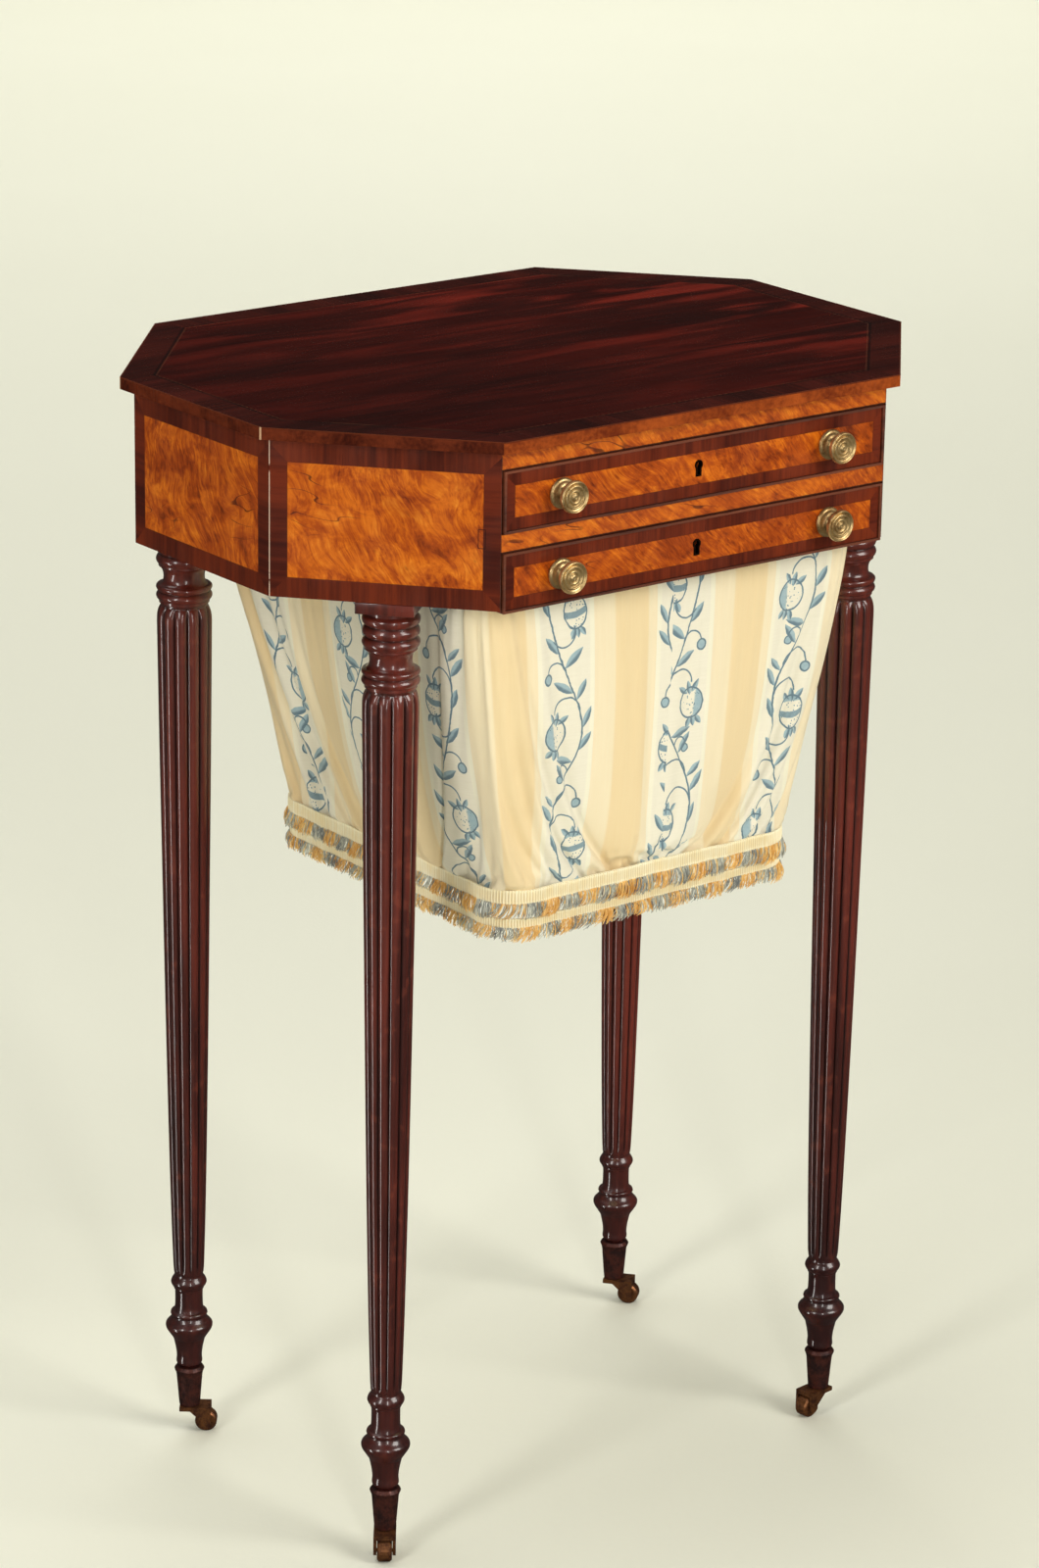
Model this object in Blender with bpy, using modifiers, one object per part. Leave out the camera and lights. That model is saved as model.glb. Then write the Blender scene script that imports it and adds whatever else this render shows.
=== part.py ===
"""Octagonal sewing table: turned legs on casters, a drawer, and a bag that hangs from a second one."""

import math

import bmesh
import bpy
from mathutils import Matrix, Vector

# Driving dimensions, metres. Front is -Y, and the floor is z = 0.
HEIGHT = 0.737
TOP_WIDTH = 0.500
TOP_DEPTH = 0.371
CANT_ALONG_FRONT = 0.0976
CANT_ALONG_SIDE = 0.110
TOP_THICK = 0.0075
OVERHANG = 0.0083
CASE_BOTTOM = 0.632
WALL = 0.010
CANT_WALL = 0.006
GAP = 0.0003

RAIL_DEPTH = 0.037
RAIL_HALF = 0.1483
RAIL_TOP_Z = (0.7175, HEIGHT - TOP_THICK - GAP)
RAIL_MIDDLE_Z = (0.6675, 0.6787)

FRONT_HALF = 0.1472
FRONT_THICK = 0.012
UPPER_FRONT_Z = (0.6790, 0.7170)
LOWER_FRONT_Z = (0.6305, 0.6670)
BEAD = 0.0015
BEAD_PROUD = 0.0012
DRAWER_HALF = 0.1465
DRAWER_SIDE = 0.007
UPPER_DRAWER_BACK = 0.1550
UPPER_SIDE_Z = (0.6793, 0.7130)
UPPER_BACK_Z = (0.6800, 0.7120)
UPPER_BOTTOM_Z = (0.6803, 0.6840)
KNOB_X = 0.104
KNOB_HOLE = 0.0026
LINER_THICK = 0.0009
KNOB_HOLE_DEEP = 0.0075

# Each runner's inner and outer sides are at these distances from the middle.
RUNNER_OUTER = 0.1515
RUNNER_UPPER_INNER = 0.1250
RUNNER_UPPER_BOTTOM = 0.6680
RUNNER_LOWER_INNER = 0.1425
RUNNER_LOWER_FRONT = -0.1600
RUNNER_LOWER_Z = (0.6490, 0.6540)
RUNNER_END_GAP = 0.0070
GROOVE_GAP = 0.0005

LOCK_HALF = 0.016
LOCK_BELOW = 0.0085
LOCK_THICK = 0.0075
BOLT_HALF = 0.0060
BOLT_BACK = (0.0018, 0.0050)
BOLT_RISE = 0.0030
BOLT_SLACK = 0.0005
MORTISE_HALF = 0.0070
MORTISE_BACK = (0.0130, 0.0180)
MORTISE_DEEP = 0.0065

LEG_INSET = 0.020
STILE = 0.036
STILE_BOTTOM = 0.6245
STILE_BACK = 0.0160
BLOCK_BACK = 0.0164
REEDS = 12
REED_SINK = 0.13
REED_TOP = 0.5725
REED_BOTTOM = 0.1140

BAG_TOP = 0.6417
BAG_BOTTOM = 0.4275
BAG_CLOTH = 0.003
BAG_FRAME_BAR = 0.0155
BAG_FRAME_TOP = 0.6620
BAG_FRAME_FRONT = -0.1555
BAG_FRAME_BACK = 0.1300
BAG_BOARD_THICK = 0.0030
BAG_BOARD_PLAY = 0.0015
FRINGE_THICK = 0.0022
FRINGE_UPPER_Z = (0.4190, 0.4380)
FRINGE_LOWER_Z = (0.4035, 0.4270)

CUP_BOTTOM = 0.0185
WHEEL_RADIUS = 0.0073
WHEEL_WIDTH = 0.0094
TRAIL = 0.011
TRAIL_TURN = {
    "front_left": -127.0,
    "front_right": -172.0,
    "back_left": -38.0,
    "back_right": -50.0,
}
CORNERS = {
    "front_left": (-1, -1),
    "front_right": (1, -1),
    "back_left": (-1, 1),
    "back_right": (1, 1),
}

# Height, half width, half depth, middle in Y and corner radius of the bag, top to bottom.
BAG_SECTIONS = [
    (BAG_TOP, 0.1465, 0.1400, -0.0122, 0.013),
    (0.620, 0.1503, 0.1415, -0.0130, 0.016),
    (0.600, 0.1472, 0.1398, -0.0138, 0.018),
    (0.550, 0.1381, 0.1349, -0.0157, 0.021),
    (0.500, 0.1285, 0.1295, -0.0176, 0.022),
    (0.460, 0.1206, 0.1248, -0.0192, 0.022),
    (BAG_BOTTOM, 0.1142, 0.1207, -0.0200, 0.022),
]


def clear_scene():
    for obj in list(bpy.data.objects):
        bpy.data.objects.remove(obj, do_unlink=True)


def new_collection(name, hidden=False):
    found = bpy.data.collections.new(name)
    bpy.context.scene.collection.children.link(found)
    found.hide_render = hidden
    return found


clear_scene()
TABLE = new_collection("sewing_table")
CUTTERS = new_collection("cutters", hidden=True)


def material(name, colour, rough, metal=0.0):
    found = bpy.data.materials.get(name)
    if found:
        return found
    made = bpy.data.materials.new(name)
    made.use_nodes = True
    shader = made.node_tree.nodes["Principled BSDF"]
    shader.inputs["Base Color"].default_value = (*colour, 1.0)
    shader.inputs["Roughness"].default_value = rough
    shader.inputs["Metallic"].default_value = metal
    return made


def mahogany():
    return material("mahogany", (0.075, 0.017, 0.009), 0.28)


def flame_birch():
    return material("flame_birch", (0.46, 0.16, 0.035), 0.32)


def inner_wood():
    return material("inner_wood", (0.38, 0.22, 0.10), 0.6)


def brass():
    return material("brass", (0.70, 0.48, 0.20), 0.25, 1.0)


def old_brass():
    return material("old_brass", (0.13, 0.085, 0.045), 0.5, 1.0)


def iron():
    return material("iron", (0.10, 0.09, 0.085), 0.5, 1.0)


def silk():
    return material("silk", (0.72, 0.66, 0.48), 0.6)


def fringe_thread():
    return material("fringe", (0.66, 0.58, 0.40), 0.8)


def board_card():
    return material("card", (0.50, 0.42, 0.30), 0.85)


def into(obj, name, look, cutter=False):
    obj.name = name
    if obj.data.name != name:
        obj.data.name = name
    for old in list(obj.users_collection):
        old.objects.unlink(obj)
    (CUTTERS if cutter else TABLE).objects.link(obj)
    if cutter:
        obj.hide_render = True
        obj.display_type = "WIRE"
    if look and not obj.data.materials:
        obj.data.materials.append(look)
    return obj


def solid(obj):
    """The object as a mesh with its modifiers applied and its caps welded on."""
    bpy.context.view_layer.update()
    graph = bpy.context.evaluated_depsgraph_get()
    mesh = bpy.data.meshes.new_from_object(obj.evaluated_get(graph))
    shape = bmesh.new()
    shape.from_mesh(mesh)
    bmesh.ops.remove_doubles(shape, verts=shape.verts, dist=1e-6)
    shape.to_mesh(mesh)
    shape.free()
    made = bpy.data.objects.new(obj.name, mesh)
    made.matrix_world = obj.matrix_world.copy()
    bpy.context.scene.collection.objects.link(made)
    bpy.data.objects.remove(obj, do_unlink=True)
    return made


def mesh_in_place(obj):
    """The object's finished mesh, measured from the world's origin."""
    whole = solid(obj)
    mesh = whole.data
    mesh.transform(whole.matrix_world)
    bpy.data.objects.remove(whole, do_unlink=True)
    return mesh


def box(name, low, high, look=None, cutter=False, bevel=0.0):
    bpy.ops.mesh.primitive_cube_add(size=1.0)
    obj = bpy.context.object
    size = Vector(high) - Vector(low)
    middle = (Vector(high) + Vector(low)) / 2
    obj.data.transform(Matrix.Diagonal((*size, 1.0)))
    obj.location = middle
    if bevel:
        rounding = obj.modifiers.new("rounding", "BEVEL")
        rounding.width = bevel
        rounding.segments = 1
    return into(obj, name, look, cutter)


def outline(name, rings, low, high, look=None, cutter=False):
    """A flat outline, holes and all, standing from z = low to z = high."""
    curve = bpy.data.curves.new(name, "CURVE")
    curve.dimensions = "2D"
    curve.fill_mode = "BOTH"
    curve.extrude = (high - low) / 2
    for ring in rings:
        spline = curve.splines.new("POLY")
        spline.points.add(len(ring) - 1)
        spline.use_cyclic_u = True
        for point, place in zip(spline.points, ring):
            point.co = (place[0], place[1], 0.0, 1.0)
    obj = bpy.data.objects.new(name, curve)
    bpy.context.scene.collection.objects.link(obj)
    obj.location.z = (low + high) / 2
    return into(obj, name, look, cutter)


def turned(name, profile, steps, look=None, cutter=False):
    """A profile of (radius, height) pairs, top to bottom, turned about Z."""
    mesh = bpy.data.meshes.new(name)
    points = [(radius, 0.0, height) for radius, height in profile]
    mesh.from_pydata(points, [(i, i + 1) for i in range(len(points) - 1)], [])
    obj = bpy.data.objects.new(name, mesh)
    bpy.context.scene.collection.objects.link(obj)
    screw = obj.modifiers.new("turning", "SCREW")
    screw.axis = "Z"
    screw.steps = steps
    screw.render_steps = steps
    screw.use_merge_vertices = True
    screw.merge_threshold = 0.00001
    screw.use_smooth_shade = True
    return into(obj, name, look, cutter)


def boolean(obj, other, kind="DIFFERENCE"):
    cut = obj.modifiers.new(kind.lower(), "BOOLEAN")
    cut.operation = kind
    cut.solver = "EXACT"
    cut.object = other


def smooth(obj, angle=35.0):
    obj.data.shade_smooth()
    obj.data.set_sharp_from_angle(angle=math.radians(angle))


def stand_up(obj, front):
    """Turns a flat outline so that its plane is XZ and its nearer face is at y = front."""
    half = obj.data.extrude
    obj.rotation_euler.x = math.radians(90)
    obj.location = (0.0, front + half, 0.0)
    return obj


def octagon(inset):
    """The top's corners moved in by inset, counter-clockwise from the left end of the front edge."""
    half_w = TOP_WIDTH / 2
    half_d = TOP_DEPTH / 2
    along = half_w - CANT_ALONG_FRONT
    up = half_d - CANT_ALONG_SIDE
    ring = [
        (-along, -half_d), (along, -half_d), (half_w, -up), (half_w, up),
        (along, half_d), (-along, half_d), (-half_w, up), (-half_w, -up),
    ]
    moved = []
    for i, corner in enumerate(ring):
        before = Vector(ring[i - 1])
        here = Vector(corner)
        after = Vector(ring[(i + 1) % 8])
        first = (here - before).normalized()
        second = (after - here).normalized()
        normal_a = Vector((-first.y, first.x))
        normal_b = Vector((-second.y, second.x))
        bisector = (normal_a + normal_b).normalized()
        moved.append(here + bisector * inset / bisector.dot(normal_a))
    return moved


def corner_frame(name):
    """The middle of a cant's face, and the unit direction out of it."""
    ring = octagon(OVERHANG)
    first = {"front_left": 7, "front_right": 1, "back_right": 3, "back_left": 5}[name]
    a = ring[first]
    b = ring[(first + 1) % 8]
    run = (b - a).normalized()
    return (a + b) / 2, Vector((run.y, -run.x))


def leg_place(name):
    middle, out = corner_frame(name)
    return middle - out * LEG_INSET


def leg_turn(name):
    out = corner_frame(name)[1]
    return math.atan2(out.x, -out.y)


def top_board():
    outline("top_board", [octagon(0.0)], HEIGHT - TOP_THICK, HEIGHT, mahogany())


def panel(name, first, thick):
    """One wall of the case, between the outer octagon and the inner one, with mitred ends."""
    outer = octagon(OVERHANG)
    inner = octagon(OVERHANG + thick)
    a = outer[first]
    b = outer[(first + 1) % 8]
    run = (b - a).normalized() * GAP / 2
    ring = [a + run, b - run, inner[(first + 1) % 8] - run, inner[first] + run]
    top = HEIGHT - TOP_THICK - GAP
    return outline(name, [ring], CASE_BOTTOM, top, flame_birch())


def front_corner(name, side):
    """A front cant's panel. Its inner end is square to the drawers' path."""
    outer = octagon(OVERHANG)
    inner = octagon(OVERHANG + CANT_WALL)
    a, b, c, d = outer[1], outer[2], inner[2], inner[1]
    run = (b - a).normalized()
    end = RAIL_HALF + GAP
    first = a + run * ((end - a.x) / run.x if a.x < end else 0.0)
    last = d + run * ((end - d.x) / run.x)
    back = run * GAP / 2
    ring = [first, b - back, c - back, last]
    if side < 0:
        ring = [Vector((-p.x, p.y)) for p in reversed(ring)]
    top = HEIGHT - TOP_THICK - GAP
    return outline(name, [ring], CASE_BOTTOM, top, flame_birch())


def case():
    panel("side_right", 2, WALL)
    panel("corner_back_right", 3, CANT_WALL)
    panel("back_panel", 4, WALL)
    panel("corner_back_left", 5, CANT_WALL)
    panel("side_left", 6, WALL)
    front_corner("corner_front_left", -1)
    front_corner("corner_front_right", 1)


def front_y():
    return -(TOP_DEPTH / 2 - OVERHANG)


def back_y():
    return TOP_DEPTH / 2 - OVERHANG - WALL


def rails():
    """The two rails between the front corners, each with a mortise for a lock's bolt."""
    front = front_y()
    for name, (low, high) in (("rail_top", RAIL_TOP_Z), ("rail_middle", RAIL_MIDDLE_Z)):
        rail = box(
            name, (-RAIL_HALF, front, low), (RAIL_HALF, front + RAIL_DEPTH, high),
            flame_birch(),
        )
        mortise = box(
            name + "_mortise",
            (-MORTISE_HALF, front + MORTISE_BACK[0], low - 0.01),
            (MORTISE_HALF, front + MORTISE_BACK[1], low + MORTISE_DEEP), None, cutter=True,
        )
        boolean(rail, mortise)


def runners():
    near = front_y() + RAIL_DEPTH + GAP
    far = back_y() - RUNNER_END_GAP
    bottom, top = RUNNER_LOWER_Z
    for side, name in ((-1, "left"), (1, "right")):
        inner, outer = sorted((side * RUNNER_UPPER_INNER, side * RUNNER_OUTER))
        box(
            "runner_upper_" + name, (inner, near, RUNNER_UPPER_BOTTOM),
            (outer, far, RAIL_MIDDLE_Z[1]), inner_wood(),
        )
        inner, outer = sorted((side * RUNNER_LOWER_INNER, side * RUNNER_OUTER))
        box(
            "runner_lower_" + name, (inner, RUNNER_LOWER_FRONT, bottom), (outer, far, top),
            inner_wood(),
        )


LEG_PROFILE = [
    (0.0, 0.6265), (0.0150, 0.6265), (0.0150, 0.6215), (0.0176, 0.6180), (0.0158, 0.6144),
    (0.0174, 0.6107), (0.0158, 0.6072), (0.0176, 0.6037), (0.0160, 0.6000),
    (0.0131, 0.5945), (0.0131, 0.5895), (0.0178, 0.5855), (0.0160, 0.5826),
    (0.0178, 0.5798), (0.0158, 0.5760), (0.0158, 0.5735),
    (0.0160, REED_TOP), (0.0175, 0.5650), (0.0170, 0.5200), (0.0155, 0.4000),
    (0.0132, 0.2500), (0.0104, 0.1250), (0.0092, REED_BOTTOM),
    (0.0100, 0.1110), (0.0118, 0.1074), (0.0098, 0.1040),
    (0.0092, 0.0960), (0.0096, 0.0860), (0.0128, 0.0800), (0.0155, 0.0763),
    (0.0130, 0.0690), (0.0094, 0.0610), (0.0083, 0.0539), (0.0086, 0.0480),
    (0.0060, 0.0470), (0.0060, 0.0275), (0.0, 0.0275),
]


def reeded(mesh):
    """Sinks every second line of the turned shaft, so that a reed stands between each two."""
    for vertex in mesh.vertices:
        x, y, z = vertex.co
        if not REED_BOTTOM + 0.001 < z < REED_TOP - 0.001:
            continue
        turn = math.atan2(y, x) / (2 * math.pi) * 2 * REEDS
        if round(turn) % 2:
            vertex.co.x = x * (1 - REED_SINK)
            vertex.co.y = y * (1 - REED_SINK)


def legs():
    """Each leg is one stick: a square stile inside the case, a block under it, and the turning."""
    shaft = solid(turned("leg_shaft", LEG_PROFILE, 2 * REEDS, mahogany()))
    reeded(shaft.data)
    into(shaft, "leg_shaft", mahogany(), cutter=True)
    top = HEIGHT - TOP_THICK - GAP
    half = STILE / 2
    face = -LEG_INSET
    stile = box(
        "leg_stile", (-half, face + CANT_WALL + GAP, STILE_BOTTOM + 0.001), (half, STILE_BACK, top),
        mahogany(), cutter=True,
    )
    block = box(
        "leg_block", (-half, face + 0.0004, STILE_BOTTOM), (half, BLOCK_BACK, CASE_BOTTOM - GAP),
        mahogany(),
    )
    boolean(block, stile, "UNION")
    boolean(block, shaft, "UNION")
    mesh = mesh_in_place(block)
    mesh.shade_smooth()
    mesh.set_sharp_from_angle(angle=math.radians(40))
    for name in CORNERS:
        leg = bpy.data.objects.new("leg_" + name, mesh)
        place = leg_place(name)
        leg.location = (place.x, place.y, 0.0)
        leg.rotation_euler.z = leg_turn(name)
        TABLE.objects.link(leg)
        if not mesh.materials:
            mesh.materials.append(mahogany())


def empty(name, place, parent=None):
    made = bpy.data.objects.new(name, None)
    made.empty_display_size = 0.02
    TABLE.objects.link(made)
    made.location = place
    if parent:
        made.parent = parent
        made.matrix_parent_inverse = Matrix.Translation(parent_place(parent)).inverted()
    return made


def parent_place(parent):
    bpy.context.view_layer.update()
    return parent.matrix_world.translation.copy()


def ride(obj, parent):
    obj.parent = parent
    obj.matrix_parent_inverse = Matrix.Translation(parent_place(parent)).inverted()


CUP_PROFILE = [
    (0.0064, 0.0465), (0.0086, 0.0465), (0.0100, 0.0445), (0.0090, 0.0420),
    (0.0086, 0.0400), (0.0072, 0.0225), (0.0068, CUP_BOTTOM), (0.0021, CUP_BOTTOM),
    (0.0021, 0.0262), (0.0064, 0.0262), (0.0064, 0.0465),
]
WHEEL_BORE = 0.00132
AXLE_RADIUS = 0.00125
CHEEK = 0.0020
CHEEK_GAP = 0.0004


def fork_mesh():
    """A plate over the wheel, a cheek on each side of it, and the pin it swivels on."""
    inside = WHEEL_WIDTH / 2 + CHEEK_GAP
    outside = inside + CHEEK
    plate = box("fork", (-0.0064, -outside, 0.0152), (0.0142, outside, 0.0180), old_brass())
    pin = turned(
        "fork_pin", [(0.0, 0.0255), (0.0017, 0.0255), (0.0020, 0.0250), (0.0020, 0.0160),
                     (0.0, 0.0160)], 16, old_brass(), cutter=True,
    )
    boolean(plate, pin, "UNION")
    ring = [(-0.0020, 0.0175), (0.0142, 0.0175)]
    for i in range(7):
        turn = math.radians(20 - 220 * i / 6)
        ring.append((TRAIL + 0.0034 * math.cos(turn), WHEEL_RADIUS + 0.0034 * math.sin(turn)))
    for side in (-1, 1):
        cheek = outline(f"fork_cheek{side}", [ring], 0.0, CHEEK, old_brass())
        cheek.rotation_euler.x = math.radians(90)
        cheek.location = (0.0, side * (inside + CHEEK / 2), 0.0)
        cheek = into(solid(cheek), f"fork_cheek{side}", old_brass(), cutter=True)
        boolean(plate, cheek, "UNION")
    bore = turned(
        "fork_bore", [(0.0, 0.02), (WHEEL_BORE, 0.02), (WHEEL_BORE, -0.02), (0.0, -0.02)],
        16, None, cutter=True,
    )
    bore.rotation_euler.x = math.radians(90)
    bore.location = (TRAIL, 0.0, WHEEL_RADIUS)
    boolean(plate, bore)
    return mesh_in_place(plate)


def casters():
    fork = fork_mesh()
    half = WHEEL_WIDTH / 2
    radius = WHEEL_RADIUS
    reach = half + CHEEK_GAP + CHEEK
    rim = [
        (WHEEL_BORE, half), (radius - 0.0012, half), (radius, half - 0.0012),
        (radius, 0.0012 - half), (radius - 0.0012, -half), (WHEEL_BORE, -half),
        (WHEEL_BORE, half),
    ]
    rod = [(0.0, reach), (AXLE_RADIUS, reach), (AXLE_RADIUS, -reach), (0.0, -reach)]
    for name in CORNERS:
        place = leg_place(name)
        turn = math.radians(TRAIL_TURN[name])
        cup = turned("caster_cup_" + name, CUP_PROFILE, 20, old_brass())
        cup.location = (place.x, place.y, 0.0)
        swivel = empty("swivel_" + name, (place.x, place.y, 0.0))
        body = bpy.data.objects.new("caster_fork_" + name, fork)
        TABLE.objects.link(body)
        if not fork.materials:
            fork.materials.append(old_brass())
        body.location = (place.x, place.y, 0.0)
        body.rotation_euler.z = turn
        ride(body, swivel)
        hub = (place.x + TRAIL * math.cos(turn), place.y + TRAIL * math.sin(turn), radius)
        spin = empty("spin_" + name, hub, swivel)
        for part, profile, steps in (("wheel", rim, 24), ("axle", rod, 16)):
            obj = turned(f"caster_{part}_{name}", profile, steps, old_brass())
            obj.location = hub
            obj.rotation_euler = (math.radians(90), 0.0, turn)
            ride(obj, spin if part == "wheel" else swivel)


def keyhole(grow):
    """A keyhole's outline about its middle: a round eye over a straight slot."""
    radius = 0.0020 + grow
    half = 0.0011 + grow
    eye = 0.0020
    foot = -0.0042 - grow
    start = math.asin(min(0.95, half / radius))
    ring = [(-half, foot), (half, foot)]
    for i in range(13):
        turn = -math.pi / 2 + start + (2 * math.pi - 2 * start) * i / 12
        ring.append((radius * math.cos(turn), eye + radius * math.sin(turn)))
    return ring


def standing_cutter(name, ring, front, back, z):
    cut = outline(name, [ring], 0.0, back - front, None)
    cut = stand_up(cut, front)
    cut.location.z = z
    cut = solid(cut)
    return into(cut, name, None, cutter=True)


KNOB_PROFILE = [
    (0.0, 0.0142), (0.0030, 0.0140), (0.0060, 0.0132), (0.0090, 0.0135), (0.0100, 0.0120),
    (0.0085, 0.0097), (0.0045, 0.0076), (0.0038, 0.0055), (0.0050, 0.0030),
    (0.0092, 0.0018), (0.0095, 0.0004), (0.0022, 0.0004), (0.0022, -0.0070), (0.0, -0.0070),
]


def drawer_front(prefix, low, high, parent):
    """The front board, the bead that frames it, the keyhole's liner, the knobs, the lock and its bolt."""
    front = front_y()
    middle = (low + high) / 2
    inner = FRONT_HALF - BEAD - GAP
    board = box(
        prefix + "_front", (-inner, front, low + BEAD + GAP),
        (inner, front + FRONT_THICK, high - BEAD - GAP), flame_birch(),
    )
    rings = []
    for inset in (0.0, BEAD):
        x = FRONT_HALF - inset
        rings.append([
            (-x, low + inset), (x, low + inset), (x, high - inset), (-x, high - inset),
        ])
    bead = outline(prefix + "_bead", rings, 0.0, FRONT_THICK + BEAD_PROUD, inner_wood())
    stand_up(bead, front - BEAD_PROUD)
    liner = outline(
        prefix + "_keyhole_liner", [keyhole(LINER_THICK), keyhole(0.0)], 0.0, 0.0030, brass()
    )
    stand_up(liner, front - 0.0004).location.z = middle
    boolean(board, standing_cutter(
        prefix + "_liner_seat", keyhole(LINER_THICK + GAP), front - 0.002, front + 0.0030, middle
    ))
    boolean(board, standing_cutter(
        prefix + "_key_way", keyhole(0.0), front - 0.002, front + FRONT_THICK + 0.002, middle
    ))
    for side, name in ((-1, "left"), (1, "right")):
        knob = turned(f"{prefix}_knob_{name}", KNOB_PROFILE, 20, brass())
        knob.rotation_euler.x = math.radians(90)
        knob.location = (side * KNOB_X, front, middle)
        ride(knob, parent)
        hole = turned(
            f"{prefix}_knob_hole_{name}",
            [(0.0, 0.002), (KNOB_HOLE, 0.002), (KNOB_HOLE, -KNOB_HOLE_DEEP), (0.0, -KNOB_HOLE_DEEP)],
            12, None, cutter=True,
        )
        hole.rotation_euler.x = math.radians(90)
        hole.location = (side * KNOB_X, front, middle)
        boolean(board, hole)
    for obj in (board, bead, liner):
        ride(obj, parent)
    lock(prefix, middle, high, parent)


def lock(prefix, middle, high, parent):
    """A lock on the back of the front board. Its bolt rises into the rail above."""
    face = front_y() + FRONT_THICK + GAP
    top = high - GAP
    case_box = box(
        prefix + "_lock", (-LOCK_HALF, face, middle - LOCK_BELOW),
        (LOCK_HALF, face + LOCK_THICK, top), iron(),
    )
    bolt_low = middle + BOLT_RISE
    near, far = (face + back for back in BOLT_BACK)
    slot_half = BOLT_HALF + GAP
    slot = box(
        prefix + "_bolt_slot", (-slot_half, near - BOLT_SLACK, bolt_low - GAP),
        (slot_half, far + BOLT_SLACK, top + 0.01), None, cutter=True,
    )
    boolean(case_box, slot)
    key_way = standing_cutter(prefix + "_lock_key_way", keyhole(0.0), face - 0.002, far, middle)
    boolean(case_box, key_way)
    rise = empty(prefix + "_bolt_slide", (0.0, (near + far) / 2, bolt_low), parent)
    tongue = box(
        prefix + "_bolt", (-BOLT_HALF, near, bolt_low), (BOLT_HALF, far, top - GAP), iron()
    )
    ride(tongue, rise)
    ride(case_box, parent)


def upper_drawer():
    slide = empty("upper_drawer_slide", (0.0, front_y(), sum(UPPER_FRONT_Z) / 2))
    drawer_front("upper", *UPPER_FRONT_Z, slide)
    near = front_y() + FRONT_THICK + GAP
    far = UPPER_DRAWER_BACK
    inner = DRAWER_HALF - DRAWER_SIDE
    bottom, top = UPPER_SIDE_Z
    for side, name in ((-1, "left"), (1, "right")):
        low, high = sorted((side * inner, side * DRAWER_HALF))
        ride(box(
            "upper_side_" + name, (low, near, bottom), (high, far, top), inner_wood()
        ), slide)
    x = inner - GAP
    bottom, top = UPPER_BACK_Z
    ride(box(
        "upper_back", (-x, far - DRAWER_SIDE, bottom), (x, far, top), inner_wood()
    ), slide)
    bottom, top = UPPER_BOTTOM_Z
    ride(box(
        "upper_bottom", (-x, near, bottom), (x, far - DRAWER_SIDE - GAP, top), inner_wood()
    ), slide)


def bag_drawer():
    """A front and an open frame. The frame's sides are grooved for the lower runners."""
    slide = empty("bag_drawer_slide", (0.0, front_y(), sum(LOWER_FRONT_Z) / 2))
    drawer_front("lower", *LOWER_FRONT_Z, slide)
    near = front_y() + FRONT_THICK + GAP
    front, far = BAG_FRAME_FRONT, BAG_FRAME_BACK
    low, high = BAG_TOP + GAP, BAG_FRAME_TOP
    inner = DRAWER_HALF - BAG_FRAME_BAR
    bottom, top = RUNNER_LOWER_Z
    for side, name in ((-1, "left"), (1, "right")):
        a, b = sorted((side * inner, side * DRAWER_HALF))
        rail = box("bag_frame_" + name, (a, near, low), (b, far, high), inner_wood())
        a, b = sorted((side * (RUNNER_LOWER_INNER - GROOVE_GAP), side * 0.1500))
        boolean(rail, box(
            "groove_" + name, (a, RUNNER_LOWER_FRONT - GROOVE_GAP, bottom - GROOVE_GAP),
            (b, far + 0.01, top + GROOVE_GAP), None, cutter=True,
        ))
        ride(rail, slide)
    x = inner - GAP
    ride(box(
        "bag_frame_front", (-x, front, low), (x, front + BAG_FRAME_BAR, high), inner_wood()
    ), slide)
    ride(box(
        "bag_frame_back", (-x, far - BAG_FRAME_BAR, low), (x, far, high), inner_wood()
    ), slide)
    bag(slide)


def section(half_x, half_y, middle, radius, grow=0.0, steps=4):
    """A rectangle with round corners, counter-clockwise."""
    ring = []
    for cx, cy, start in ((1, 1, 0), (-1, 1, 90), (-1, -1, 180), (1, -1, 270)):
        for i in range(steps + 1):
            turn = math.radians(start + 90 * i / steps)
            ring.append((
                cx * (half_x - radius) + (radius + grow) * math.cos(turn),
                middle + cy * (half_y - radius) + (radius + grow) * math.sin(turn),
            ))
    return ring


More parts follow.
